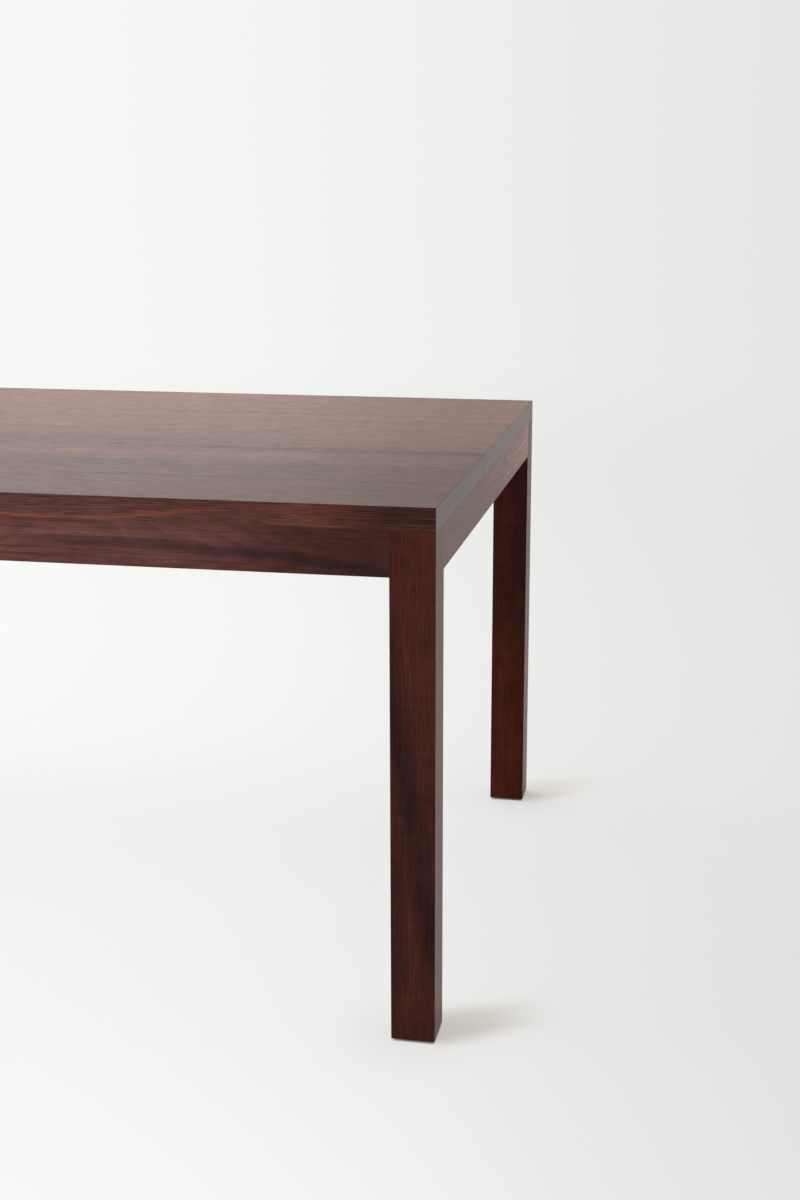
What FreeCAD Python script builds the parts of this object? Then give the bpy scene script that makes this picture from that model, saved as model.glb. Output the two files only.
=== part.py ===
import FreeCAD, Part
import Sketcher

import math
import os
import re

# Parsons dining table in solid wood: a plank top that lies flush over square legs and aprons.
# The origin is on the floor under the middle of the table. +X runs along the table, +Y to its rear, +Z up.
# All sizes are in millimetres.

SIZES = [
    # The whole table
    ("table_length", 2134, "length over the top"),
    ("table_width", 1016, "width over the top"),
    ("table_height", 762, "floor to the top's surface"),
    ("top_thickness", 32, "thickness of the top boards"),
    ("edge_ease", 1, "radius sanded on the outer edges"),
    # Legs
    ("leg_width", 62, "side of the square leg"),
    ("foot_gap", 3, "shadow gap between floor and leg"),
    # Aprons and their corner joints
    ("apron_height", 63, "height of every apron"),
    ("apron_thickness", 32, "thickness of every apron"),
    ("tenon_setback", 10, "outer face to tenon cheek"),
    ("tenon_thickness", 12, "thickness of the tenon"),
    ("tenon_shoulder", 8, "shoulder below the tenon"),
    ("haunch_height", 14, "height of the haunch above the tenon"),
    ("haunch_depth", 10, "how far the haunch enters the leg"),
    ("mitre_gap", 0.6, "room between the mitred tenon ends"),
    ("glue_gap", 0.1, "room for glue on each face of a joint"),
    # Bearers under the top
    ("bearer_width", 60, "width of a bearer"),
    ("bearer_height", 40, "height of a bearer"),
    ("bearer_ease", 2, "radius on a bearer's lower edges"),
    ("tail_length", 12, "depth of the dovetail in the apron"),
    ("tail_neck", 36, "dovetail width at the apron's face"),
    ("tail_width", 46, "dovetail width at its end"),
    ("slot_travel", 8, "room for the top to move in a slotted hole"),
    ("bearer_seat", 16, "depth of the head recess in a bearer"),
    # Table buttons
    ("button_length", 45, "apron face to the button's back"),
    ("button_width", 28, "width of a button"),
    ("button_lip", 12, "apron wood above the button groove"),
    ("button_gap", 1, "gap between button and top"),
    ("button_offset", 3, "gap between apron face and button"),
    ("tongue_length", 10, "length of the tongue in the apron"),
    ("tongue_height", 11, "height of the tongue"),
    ("groove_depth", 14, "depth of the button groove"),
    ("groove_play", 6, "groove beyond each side of the button"),
    ("groove_drop", 1, "gap under the tongue"),
    ("button_screw_place", 25, "apron face to the screw's axis"),
    ("button_seat", 4, "depth of the head recess in a button"),
    # Corner blocks
    ("block_arm", 70, "length of an arm past the leg"),
    ("block_end", 18, "thickness of an arm at its end"),
    ("block_height", 40, "height of a corner block"),
    ("block_drop", 1.5, "gap between block and top"),
    ("block_leg_gap", 0.5, "gap between block and leg"),
    ("block_screw_inset", 20, "arm end to the screw's axis"),
    ("block_screw_wood", 20, "block wood under the screw's head"),
    # Wood screws
    ("screw_diameter", 4.5, "shank of every wood screw"),
    ("screw_head_diameter", 9, "head of every wood screw"),
    ("screw_head_crown", 6, "flat crown of the tapered head"),
    ("screw_head_height", 3, "height of the head"),
    ("screw_point", 6, "length of the point"),
    ("screw_play", 0.1, "room round the shank"),
    ("head_play", 0.6, "room round the head"),
    ("top_bite", 22, "screw length in the top"),
    ("apron_bite", 20, "screw length in an apron"),
    ("pilot_spare", 1, "pilot hole beyond the point"),
    # Levelling feet
    ("glide_diameter", 28, "diameter of the glide"),
    ("glide_edge", 1, "bevel round the glide's sole"),
    ("glide_sole", 3, "glide wall under the screw's collar"),
    ("glide_roof", 2.5, "glide wall over the screw's collar"),
    ("glide_rest_gap", 0.3, "glide to insert, screwed right in"),
    ("recess_play", 1.5, "room round the glide in the leg"),
    ("collar_diameter", 16, "collar of the levelling screw"),
    ("collar_thickness", 2.5, "thickness of the collar"),
    ("collar_play", 0.1, "room above and below the collar"),
    ("thread_diameter", 8, "thread of the levelling screw"),
    ("thread_bevel", 1, "bevel at the screw's tip"),
    ("running_play", 0.05, "radial room of the turning screw"),
    ("levelling_length", 45, "collar to tip of the levelling screw"),
    ("key_hole_diameter", 9, "hole in the glide for the hex key"),
    ("key_width", 5, "hex socket across its flats"),
    ("key_depth", 3.5, "depth of the hex socket"),
    ("insert_diameter", 12, "body of the threaded insert"),
    ("insert_length", 18, "body length of the insert"),
    ("insert_rim_diameter", 18, "rim of the insert"),
    ("insert_rim_thickness", 1.5, "thickness of the rim"),
    ("stem_play", 0.5, "room round the screw above the insert"),
    ("stem_headroom", 4, "bore beyond the screw's tip"),
    # All cuts
    ("overrun", 1, "how far a cut runs past a face"),
]

BOARDS = 7
BAYS = 4
NEAR = 1e-6

doc = FreeCAD.newDocument("parsons_dining_table")
sheet = doc.addObject("Spreadsheet::Sheet", "Sizes")
for row, (alias, number, note) in enumerate(SIZES, start=1):
    sheet.set(f"A{row}", note)
    sheet.set(f"B{row}", str(number))
    sheet.setAlias(f"B{row}", alias)
doc.recompute()


def val(text):
    """The number that an expression gives now."""
    return float(sheet.evalExpression(text))


def sized(text):
    """An expression in which every size's name is looked up in the sheet."""
    names = "|".join(alias for alias, number, note in SIZES)
    return re.sub(rf"\b({names})\b", r"Sizes.\1", text)


# Levels and spans that several pieces share
TOP_UNDERSIDE = "( table_height - top_thickness )"
APRON_BOTTOM = f"( {TOP_UNDERSIDE} - apron_height )"
LEG_HEIGHT = f"( {TOP_UNDERSIDE} - foot_gap )"
LONG_SPAN = "( table_length - 2 * leg_width )"
END_SPAN = "( table_width - 2 * leg_width )"
BOARD_WIDTH = f"( table_width / {BOARDS} )"
BEARER_BOARD = f"( table_width / 2 - 1.5 * {BOARD_WIDTH} )"
END_BOARD = f"( table_width / 2 - 2.5 * {BOARD_WIDTH} )"
BEARER_SPACING = f"( {LONG_SPAN} / {BAYS} )"
TENON_INNER = "( tenon_setback + tenon_thickness )"
BUTTON_BASE = "( button_lip + tongue_height )"
BLOCK_BOTTOM = f"( {TOP_UNDERSIDE} - block_drop - block_height )"
SCREW_HOLE = "( screw_diameter / 2 + screw_play )"
HEAD_HOLE = "( screw_head_diameter / 2 + head_play )"
GLIDE_HEIGHT = "( glide_sole + collar_thickness + 2 * collar_play + glide_roof )"
RIM_UNDERSIDE = f"( {GLIDE_HEIGHT} + glide_rest_gap )"
RECESS_DEPTH = f"( {RIM_UNDERSIDE} + insert_rim_thickness - foot_gap )"
COLLAR_UNDERSIDE = "( glide_sole + collar_play )"
THREAD_BORE = "( thread_diameter / 2 + running_play )"

# Each corner by name, with its side of the table along X and Y and the turn that faces it inwards
CORNERS = {
    "front_left": (-1, -1, 0),
    "front_right": (1, -1, 90),
    "rear_right": (1, 1, 180),
    "rear_left": (-1, 1, 270),
}


def new_body(label, x="0", y="0", z="0", turn=0):
    """An empty piece, placed by expressions and turned about the vertical, in degrees."""
    body = doc.addObject("PartDesign::Body", label)
    body.Label = label
    body.Placement = FreeCAD.Placement(FreeCAD.Vector(), FreeCAD.Rotation(FreeCAD.Vector(0, 0, 1), turn))
    for axis, text in (("x", x), ("y", y), ("z", z)):
        if text != "0":
            body.setExpression(f"Placement.Base.{axis}", sized(text))
    return body


def new_sketch(body, name, role="XY_Plane", offset="0"):
    """A sketch on one of the piece's own planes, moved along the plane's normal."""
    plane = next(feature for feature in body.Origin.OriginFeatures if feature.Role == role)
    sketch = body.newObject("Sketcher::SketchObject", name)
    sketch.AttachmentSupport = [(plane, "")]
    sketch.MapMode = "FlatFace"
    if offset != "0":
        sketch.setExpression("AttachmentOffset.Base.z", sized(offset))
    return sketch


def hold(sketch, kind, geometry, point, text):
    """Ties one coordinate of a point to an expression."""
    if text == "0":
        axis = -2 if kind == "DistanceX" else -1
        sketch.addConstraint(Sketcher.Constraint("PointOnObject", geometry, point, axis))
        return
    constraint = Sketcher.Constraint(kind, -1, 1, geometry, point, val(sized(text)))
    sketch.setExpression(f"Constraints[{sketch.addConstraint(constraint)}]", sized(text))


def hold_radius(sketch, geometry, text):
    """Ties the radius of a circle or arc to an expression."""
    constraint = Sketcher.Constraint("Radius", geometry, val(sized(text)))
    sketch.setExpression(f"Constraints[{sketch.addConstraint(constraint)}]", sized(text))


def add_outline(sketch, points):
    """A closed outline with straight sides through points given as pairs of expressions."""
    first = sketch.GeometryCount
    count = len(points)
    corners = [FreeCAD.Vector(val(sized(x)), val(sized(y)), 0) for x, y in points]
    for index in range(count):
        sketch.addGeometry(Part.LineSegment(corners[index], corners[(index + 1) % count]))
    for index in range(count):
        follower = first + (index + 1) % count
        sketch.addConstraint(Sketcher.Constraint("Coincident", first + index, 2, follower, 1))
    for index, (x, y) in enumerate(points):
        hold(sketch, "DistanceX", first + index, 1, x)
        hold(sketch, "DistanceY", first + index, 1, y)


def add_rectangle(sketch, left, right, low, high):
    """A rectangle between two pairs of expressions."""
    add_outline(sketch, [(left, low), (right, low), (right, high), (left, high)])


def add_eased_square(sketch, side, radius):
    """A square from the origin whose corner there is rounded."""
    first = sketch.GeometryCount
    ends = [(radius, "0"), (side, "0"), (side, side), ("0", side), ("0", radius)]
    points = [FreeCAD.Vector(val(sized(x)), val(sized(y)), 0) for x, y in ends]
    for start, end in zip(points, points[1:]):
        sketch.addGeometry(Part.LineSegment(start, end))
    r = val(sized(radius))
    round_corner = Part.Circle(FreeCAD.Vector(r, r, 0), FreeCAD.Vector(0, 0, 1), r)
    arc = sketch.addGeometry(Part.ArcOfCircle(round_corner, math.pi, 1.5 * math.pi))
    for geometry in range(first, arc - 1):
        sketch.addConstraint(Sketcher.Constraint("Coincident", geometry, 2, geometry + 1, 1))
    sketch.addConstraint(Sketcher.Constraint("Coincident", arc - 1, 2, arc, 1))
    sketch.addConstraint(Sketcher.Constraint("Coincident", arc, 2, first, 1))
    for geometry, (x, y) in zip(range(first, arc), ends):
        hold(sketch, "DistanceX", geometry, 1, x)
        hold(sketch, "DistanceY", geometry, 1, y)
    hold(sketch, "DistanceX", arc - 1, 2, ends[-1][0])
    hold(sketch, "DistanceY", arc - 1, 2, ends[-1][1])
    hold_radius(sketch, arc, radius)


def add_circle(sketch, x, y, radius):
    """A circle at a place and of a radius given as expressions."""
    centre = FreeCAD.Vector(val(sized(x)), val(sized(y)), 0)
    circle = Part.Circle(centre, FreeCAD.Vector(0, 0, 1), val(sized(radius)))
    geometry = sketch.addGeometry(circle)
    hold(sketch, "DistanceX", geometry, 3, x)
    hold(sketch, "DistanceY", geometry, 3, y)
    hold_radius(sketch, geometry, radius)


def add_slot(sketch, low, high, radius):
    """A slot along the sketch's vertical axis between two end centres given as expressions."""
    up = FreeCAD.Vector(0, 0, 1)
    r = val(sized(radius))
    y0 = val(sized(low))
    y1 = val(sized(high))
    lower = Part.ArcOfCircle(Part.Circle(FreeCAD.Vector(0, y0, 0), up, r), math.pi, 2 * math.pi)
    upper = Part.ArcOfCircle(Part.Circle(FreeCAD.Vector(0, y1, 0), up, r), 0, math.pi)
    first = sketch.addGeometry(lower)
    sketch.addGeometry(Part.LineSegment(FreeCAD.Vector(r, y0, 0), FreeCAD.Vector(r, y1, 0)))
    sketch.addGeometry(upper)
    sketch.addGeometry(Part.LineSegment(FreeCAD.Vector(-r, y1, 0), FreeCAD.Vector(-r, y0, 0)))
    for step in range(4):
        here = first + step
        after = first + (step + 1) % 4
        sketch.addConstraint(Sketcher.Constraint("Tangent", here, 2, after, 1))
    for arc, text in ((first, low), (first + 2, high)):
        hold(sketch, "DistanceX", arc, 3, "0")
        hold(sketch, "DistanceY", arc, 3, text)
        hold_radius(sketch, arc, radius)


def pad(body, sketch, length, middle=False):
    """Adds a sketch's outline as a solid of a length along its normal, or half to each side."""
    feature = body.newObject("PartDesign::Pad", "Pad")
    feature.Profile = sketch
    if middle:
        feature.SideType = "Symmetric"
    feature.setExpression("Length", sized(length))
    doc.recompute()
    return feature


def pocket(body, sketch, depth, along=False):
    """Cuts a sketch's outline to a depth, against its normal or along it."""
    before = body.Shape.Volume
    feature = body.newObject("PartDesign::Pocket", "Pocket")
    feature.Profile = sketch
    feature.Reversed = along
    feature.setExpression("Length", sized(depth))
    doc.recompute()
    if feature.Shape.Volume > before * (1 - NEAR):
        raise RuntimeError(f"a cut in {body.Label} takes nothing away")
    return feature


def turned(body, points):
    """A piece turned about the vertical from a profile of radius and height expressions."""
    sketch = new_sketch(body, "Profile", "XZ_Plane")
    add_outline(sketch, points)
    feature = body.newObject("PartDesign::Revolution", "Turned")
    feature.Profile = sketch
    feature.ReferenceAxis = (sketch, ["V_Axis"])
    feature.Angle = 360
    doc.recompute()
    return feature


def ease(body, feature, radius, chosen):
    """Rounds the feature's edges whose middle point and direction pass the test."""
    names = []
    for number, edge in enumerate(feature.Shape.Edges, start=1):
        ends = [vertex.Point for vertex in edge.Vertexes]
        if len(ends) == 2 and chosen(*ends):
            names.append(f"Edge{number}")
    fillet = body.newObject("PartDesign::Fillet", "Eased")
    fillet.Base = (feature, names)
    fillet.setExpression("Radius", sized(radius))
    doc.recompute()
    return fillet


def same(*numbers):
    """True if the numbers are equal but for rounding."""
    return max(numbers) - min(numbers) < NEAR


def corner_place(corner, inset="0"):
    """The X and Y expressions of a point that lies inset from both outer faces of a corner."""
    along, across, turn = CORNERS[corner]
    return f"{along} * ( table_length / 2 - {inset} )", f"{across} * ( table_width / 2 - {inset} )"


# Legs: square posts with two meeting mortises at the head and a stepped bore in the foot


def make_leg(corner):
    """A leg, drawn from its outer corner with both inner faces on the positive sides."""
    x, y = corner_place(corner)
    leg = new_body(f"{corner}_leg", x, y, "foot_gap", CORNERS[corner][2])
    plan = new_sketch(leg, "LegPlan")
    add_rectangle(plan, "0", "leg_width", "0", "leg_width")
    post = pad(leg, plan, f"{LEG_HEIGHT} - apron_height")
    ease(
        leg,
        post,
        "edge_ease",
        lambda a, b: same(a.x, b.x) and same(a.y, b.y) or same(a.z, b.z, 0),
    )
    head_plan = new_sketch(leg, "HeadPlan", offset=f"{LEG_HEIGHT} - apron_height")
    add_eased_square(head_plan, "leg_width", "edge_ease")
    pad(leg, head_plan, "apron_height")
    cheek_out = "tenon_setback - glue_gap"
    cheek_in = f"{TENON_INNER} + glue_gap"
    mouth = "leg_width + overrun"
    mortise = new_sketch(leg, "Mortises", offset=f"{LEG_HEIGHT} - haunch_height + glue_gap")
    add_outline(
        mortise,
        [
            (cheek_out, cheek_out),
            (mouth, cheek_out),
            (mouth, cheek_in),
            (cheek_in, cheek_in),
            (cheek_in, mouth),
            (cheek_out, mouth),
        ],
    )
    pocket(leg, mortise, "apron_height - haunch_height - tenon_shoulder + 2 * glue_gap")
    haunch_end = "leg_width - haunch_depth - glue_gap"
    haunch = new_sketch(leg, "Haunches", offset=LEG_HEIGHT)
    add_rectangle(haunch, haunch_end, mouth, cheek_out, cheek_in)
    add_rectangle(haunch, cheek_out, cheek_in, haunch_end, mouth)
    pocket(leg, haunch, "haunch_height + glue_gap")
    bores = [
        ("GlideRecess", "glide_diameter / 2 + recess_play", RECESS_DEPTH),
        ("InsertBore", "insert_diameter / 2 + glue_gap", f"{RECESS_DEPTH} + insert_length + glue_gap"),
        (
            "StemBore",
            "thread_diameter / 2 + stem_play",
            f"{COLLAR_UNDERSIDE} + levelling_length + stem_headroom - foot_gap",
        ),
    ]
    for name, radius, depth in bores:
        bore = new_sketch(leg, name)
        add_circle(bore, "leg_width / 2", "leg_width / 2", radius)
        pocket(leg, bore, depth, along=True)
    return leg


# Aprons: rails with haunched, mitred tenons, button grooves, and dovetail housings in the long ones


def make_apron(label, span, x, y, turn, button_places, bearer_places):
    """An apron, drawn along X with its outer face at zero and its inner face on the positive side."""
    apron = new_body(label, x, y, APRON_BOTTOM, turn)
    plan = new_sketch(apron, "RailPlan")
    add_rectangle(plan, f"-{span} / 2", f"{span} / 2", "0", "apron_thickness")
    rail = pad(apron, plan, "apron_height")
    ease(apron, rail, "edge_ease", lambda a, b: same(a.z, b.z, 0) and same(a.y, b.y))
    shoulder = f"{span} / 2"
    tip_out = f"{shoulder} + leg_width - tenon_setback - mitre_gap"
    tip_in = f"{shoulder} + leg_width - {TENON_INNER} - mitre_gap"
    tenon_plan = new_sketch(apron, "TenonPlan", offset="tenon_shoulder")
    add_outline(
        tenon_plan,
        [
            (shoulder, "tenon_setback"),
            (tip_out, "tenon_setback"),
            (tip_in, TENON_INNER),
            (shoulder, TENON_INNER),
        ],
    )
    tenon = pad(apron, tenon_plan, "apron_height - tenon_shoulder - haunch_height")
    haunch_plan = new_sketch(apron, "HaunchPlan", offset="apron_height - haunch_height")
    add_rectangle(haunch_plan, shoulder, f"{shoulder} + haunch_depth", "tenon_setback", TENON_INNER)
    haunch = pad(apron, haunch_plan, "haunch_height")
    pair = apron.newObject("PartDesign::Mirrored", "OtherEnd")
    pair.Originals = [tenon, haunch]
    middle = next(feature for feature in apron.Origin.OriginFeatures if feature.Role == "YZ_Plane")
    pair.MirrorPlane = (middle, [""])
    apron.Tip = pair
    doc.recompute()
    groove = new_sketch(apron, "ButtonGrooves", "XZ_Plane", "-apron_thickness")
    for place in button_places:
        half = "button_width / 2 + groove_play"
        ceiling = "apron_height - button_lip"
        add_rectangle(
            groove,
            f"{place} - ( {half} )",
            f"{place} + {half}",
            f"{ceiling} - tongue_height - groove_drop",
            ceiling,
        )
    pocket(apron, groove, "groove_depth", along=True)
    pilot = new_sketch(apron, "BlockPilots", "XZ_Plane", "-apron_thickness")
    for side in ("-", ""):
        place = f"{side}( {span} / 2 - block_arm + block_screw_inset )"
        add_circle(pilot, place, "apron_height - block_drop - block_height / 2", SCREW_HOLE)
    pocket(apron, pilot, "apron_bite + pilot_spare", along=True)
    for place in bearer_places:
        housing = new_sketch(apron, "DovetailHousing", offset="apron_height")
        bottom = "apron_thickness - tail_length"
        mouth = "apron_thickness + overrun"
        neck = "tail_neck / 2 + glue_gap - overrun * ( tail_width - tail_neck ) / 2 / tail_length"
        add_outline(
            housing,
            [
                (f"{place} - ( tail_width / 2 + glue_gap )", bottom),
                (f"{place} + tail_width / 2 + glue_gap", bottom),
                (f"{place} + {neck}", mouth),
                (f"{place} - ( {neck} )", mouth),
            ],
        )
        pocket(apron, housing, "bearer_height")
    return apron


# Bearers: cross battens with a dovetail at each end, which drop into the long aprons


def make_bearer(label, place):
    """A bearer, drawn across the table with its lower face at zero."""
    bearer = new_body(label, place, "0", f"{TOP_UNDERSIDE} - bearer_height")
    shoulder = "( table_width / 2 - apron_thickness )"
    end = f"( {shoulder} + tail_length - glue_gap )"
    half_outline = [
        ("bearer_width / 2", shoulder),
        ("tail_neck / 2", shoulder),
        ("tail_width / 2", end),
    ]
    far = half_outline + [(f"-{x}", y) for x, y in reversed(half_outline)]
    near = [(f"-{x}", f"-{y}") for x, y in half_outline] + [(x, f"-{y}") for x, y in reversed(half_outline)]
    plan = new_sketch(bearer, "BearerPlan")
    add_outline(plan, far + near)
    batten = pad(bearer, plan, "bearer_height")
    half = val(sized("bearer_width / 2"))
    ease(
        bearer,
        batten,
        "bearer_ease",
        lambda a, b: same(a.z, b.z, 0) and same(abs(a.x), abs(b.x), half) and not same(a.y, b.y),
    )
    for name, radius, depth in (
        ("HeadRecess", HEAD_HOLE, "bearer_seat"),
        ("ShankHole", SCREW_HOLE, "bearer_height"),
    ):
        holes = new_sketch(bearer, name)
        add_circle(holes, "0", "0", radius)
        for side in (-1, 1):
            centre = f"{side} * {BEARER_BOARD}"
            add_slot(holes, f"{centre} - slot_travel / 2", f"{centre} + slot_travel / 2", radius)
        pocket(bearer, holes, depth, along=True)
    return bearer


# Table buttons: blocks whose tongue hooks under the apron's lip and pulls the top down


def make_button(label, x, y, turn):
    """A button, drawn from the apron's inner face with the top's underside at zero height."""
    button = new_body(label, x, y, TOP_UNDERSIDE, turn)
    profile = new_sketch(button, "ButtonProfile", "YZ_Plane")
    add_outline(
        profile,
        [
            ("-tongue_length", f"-{BUTTON_BASE}"),
            ("button_length", f"-{BUTTON_BASE}"),
            ("button_length", "-button_gap"),
            ("button_offset", "-button_gap"),
            ("button_offset", "-button_lip"),
            ("-tongue_length", "-button_lip"),
        ],
    )
    pad(button, profile, "button_width", middle=True)
    for name, radius, depth in (
        ("HeadRecess", HEAD_HOLE, "button_seat"),
        ("ShankHole", SCREW_HOLE, BUTTON_BASE),
    ):
        hole = new_sketch(button, name, offset=f"-{BUTTON_BASE}")
        add_circle(hole, "0", "button_screw_place", radius)
        pocket(button, hole, depth, along=True)
    return button


# Corner blocks: notched braces screwed to both aprons behind each leg


def make_corner_block(corner):
    """A corner block, drawn from the table's outer corner like its leg."""
    x, y = corner_place(corner)
    block = new_body(f"{corner}_corner_block", x, y, BLOCK_BOTTOM, CORNERS[corner][2])
    notch = "leg_width + block_leg_gap"
    face = "apron_thickness"
    end = "leg_width + block_arm"
    nose = "apron_thickness + block_end"
    plan = new_sketch(block, "BlockPlan")
    add_outline(
        plan,
        [(notch, face), (end, face), (end, nose), (nose, end), (face, end), (face, notch), (notch, notch)],
    )
    pad(block, plan, "block_height")
    place = "leg_width + block_arm - block_screw_inset"
    level = "block_height / 2"
    for radius, start, depth in (
        (HEAD_HOLE, "( apron_thickness + block_screw_wood )", "block_arm"),
        (SCREW_HOLE, "apron_thickness", "block_screw_wood"),
    ):
        hole = new_sketch(block, "ScrewHoleAlongY", "XZ_Plane", f"-{start}")
        add_circle(hole, place, level, radius)
        pocket(block, hole, depth)
        hole = new_sketch(block, "ScrewHoleAlongX", "YZ_Plane", start)
        add_circle(hole, place, level, radius)
        pocket(block, hole, depth, along=True)
    return block


# Top boards: planks with pilot holes below and eased outer edges


def make_board(number):
    """A board of the top, drawn from its outer edge; boards behind the middle one are turned round."""
    middle = (BOARDS + 1) // 2
    rank = min(number, BOARDS + 1 - number)
    edge = f"( table_width / 2 - {rank - 1} * {BOARD_WIDTH} )"
    if number <= middle:
        board = new_body(f"top_board_{number}", "0", f"-{edge}", TOP_UNDERSIDE)
    else:
        board = new_body(f"top_board_{number}", "0", edge, TOP_UNDERSIDE, 180)
    plan = new_sketch(board, "BoardPlan")
    add_rectangle(plan, "-table_length / 2", "table_length / 2", "0", BOARD_WIDTH)
    plank = pad(board, plan, "top_thickness")
    surface = val(sized("top_thickness"))

    def outer_edge(a, b):
        across_end = same(a.z, b.z, surface) and same(a.x, b.x)
        along_front = same(a.z, b.z, surface) and same(a.y, b.y, 0)
        corner = same(a.x, b.x) and same(a.y, b.y, 0)
        return across_end or rank == 1 and (along_front or corner)

    ease(board, plank, "edge_ease", outer_edge)
    pilots = new_sketch(board, "Pilots")
    if rank == 1:
        places = [(x, "apron_thickness + button_screw_place") for x in BAY_MIDDLES]
    elif rank == 3:
        end = "( table_length / 2 - apron_thickness - button_screw_place )"
        places = [(f"{side}{end}", f"{BOARD_WIDTH} / 2") for side in ("-", "")]
    else:
        places = [(x, f"{BOARD_WIDTH} / 2") for x in BEARER_PLACES]
    for x, y in places:
        add_circle(pilots, x, y, SCREW_HOLE)
    pocket(board, pilots, "top_bite + pilot_spare", along=True)
    return board


# Wood screws: a tapered head, a shank and a point, drawn with the head's underside at zero


def make_screw_group(label, length, places):
    """One piece of separate screws, each placed by expressions and turned from upright."""
    screw = new_body(f"{label}_pattern")
    turned(
        screw,
        [
            ("0", "-screw_head_height"),
            ("screw_head_crown / 2", "-screw_head_height"),
            ("screw_head_diameter / 2", "0"),
            ("screw_diameter / 2", "0"),
            ("screw_diameter / 2", f"{length} - screw_point"),
            ("0", length),
        ],
    )
    copies = []
    for x, y, z, rotation in places:
        copy = doc.addObject("App::Link", f"{label}_copy")
        copy.LinkedObject = screw
        copy.Placement = FreeCAD.Placement(FreeCAD.Vector(), rotation)
        for axis, text in (("x", x), ("y", y), ("z", z)):
            copy.setExpression(f"Placement.Base.{axis}", sized(text))
        copies.append(copy)
    group = doc.addObject("Part::Compound", label)
    group.Links = copies
    doc.recompute()
    return group


# Levelling feet: an insert in the leg, a screw turned by a hex key, and a glide that stays still


def make_foot(corner):
    """The threaded insert, levelling screw and glide of one leg."""
    x, y = corner_place(corner, "leg_width / 2")
    insert = new_body(f"{corner}_threaded_insert", x, y, RIM_UNDERSIDE)
    turned(
        insert,
        [
            (THREAD_BORE, "0"),
            ("insert_rim_diameter / 2", "0"),
            ("insert_rim_diameter / 2", "insert_rim_thickness"),
            ("insert_diameter / 2", "insert_rim_thickness"),
            ("insert_diameter / 2", "insert_rim_thickness + insert_length"),
            (THREAD_BORE, "insert_rim_thickness + insert_length"),
        ],
    )
    screw = new_body(f"{corner}_levelling_screw", x, y, COLLAR_UNDERSIDE)
    turned(
        screw,
        [
            ("0", "0"),
            ("collar_diameter / 2", "0"),
            ("collar_diameter / 2", "collar_thickness"),
            ("thread_diameter / 2", "collar_thickness"),
            ("thread_diameter / 2", "levelling_length - thread_bevel"),
            ("thread_diameter / 2 - thread_bevel", "levelling_length"),
            ("0", "levelling_length"),
        ],
    )
    socket = new_sketch(screw, "HexSocket")
    point = "key_width / sqrt(3)"
    add_outline(
        socket,
        [
            (point, "0"),
            (f"{point} / 2", "key_width / 2"),
            (f"-{point} / 2", "key_width / 2"),
            (f"-{point}", "0"),
            (f"-{point} / 2", "-key_width / 2"),
            (f"{point} / 2", "-key_width / 2"),
        ],
    )
    pocket(screw, socket, "key_depth", along=True)
    glide = new_body(f"{corner}_glide", x, y)
    cavity_radius = "collar_diameter / 2 + running_play"
    cavity_top = "glide_sole + collar_thickness + 2 * collar_play"
    turned(
        glide,
        [
            ("key_hole_diameter / 2", "0"),
            ("glide_diameter / 2 - glide_edge", "0"),
            ("glide_diameter / 2", "glide_edge"),
            ("glide_diameter / 2", GLIDE_HEIGHT),
            (THREAD_BORE, GLIDE_HEIGHT),
            (THREAD_BORE, cavity_top),
            (cavity_radius, cavity_top),
            (cavity_radius, "glide_sole"),
            ("key_hole_diameter / 2", "glide_sole"),
        ],
    )
    return [insert, screw, glide]


# Places along the table: bearers between equal bays, one long-side button in the middle of each bay
BEARER_PLACES = [f"{step - BAYS / 2} * {BEARER_SPACING}" for step in range(1, BAYS)]
BAY_MIDDLES = [f"{step + 0.5 - BAYS / 2} * {BEARER_SPACING}" for step in range(BAYS)]
END_BUTTONS = [f"{side} * {END_BOARD}" for side in (-1, 1)]
LONG_FACE = "( table_width / 2 - apron_thickness )"
END_FACE = "( table_length / 2 - apron_thickness )"

pieces = []
for number in range(1, BOARDS + 1):
    pieces.append(make_board(number))
pieces.append(make_apron("front_apron", LONG_SPAN, "0", "-table_width / 2", 0, BAY_MIDDLES, BEARER_PLACES))
pieces.append(make_apron("rear_apron", LONG_SPAN, "0", "table_width / 2", 180, BAY_MIDDLES, BEARER_PLACES))
pieces.append(make_apron("right_apron", END_SPAN, "table_length / 2", "0", 90, END_BUTTONS, []))
pieces.append(make_apron("left_apron", END_SPAN, "-table_length / 2", "0", 270, END_BUTTONS, []))
for corner in CORNERS:
    pieces.append(make_leg(corner))
    pieces.append(make_corner_block(corner))
    pieces.extend(make_foot(corner))
for label, place in zip(("left_bearer", "middle_bearer", "right_bearer"), BEARER_PLACES):
    pieces.append(make_bearer(label, place))
for number, place in enumerate(BAY_MIDDLES, start=1):
    pieces.append(make_button(f"front_button_{number}", place, f"-{LONG_FACE}", 0))
    pieces.append(make_button(f"rear_button_{number}", place, LONG_FACE, 180))
for number, place in enumerate(END_BUTTONS, start=1):
    pieces.append(make_button(f"left_button_{number}", f"-{END_FACE}", place, 270))
    pieces.append(make_button(f"right_button_{number}", END_FACE, place, 90))

UPRIGHT = FreeCAD.Rotation()
bearer_head = f"{TOP_UNDERSIDE} - bearer_height + bearer_seat"
bearer_screws = [
    (x, f"{side} * {BEARER_BOARD}", bearer_head, UPRIGHT) for x in BEARER_PLACES for side in (-1, 0, 1)
]
pieces.append(make_screw_group("bearer_screws", "( bearer_height - bearer_seat + top_bite )", bearer_screws))

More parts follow.
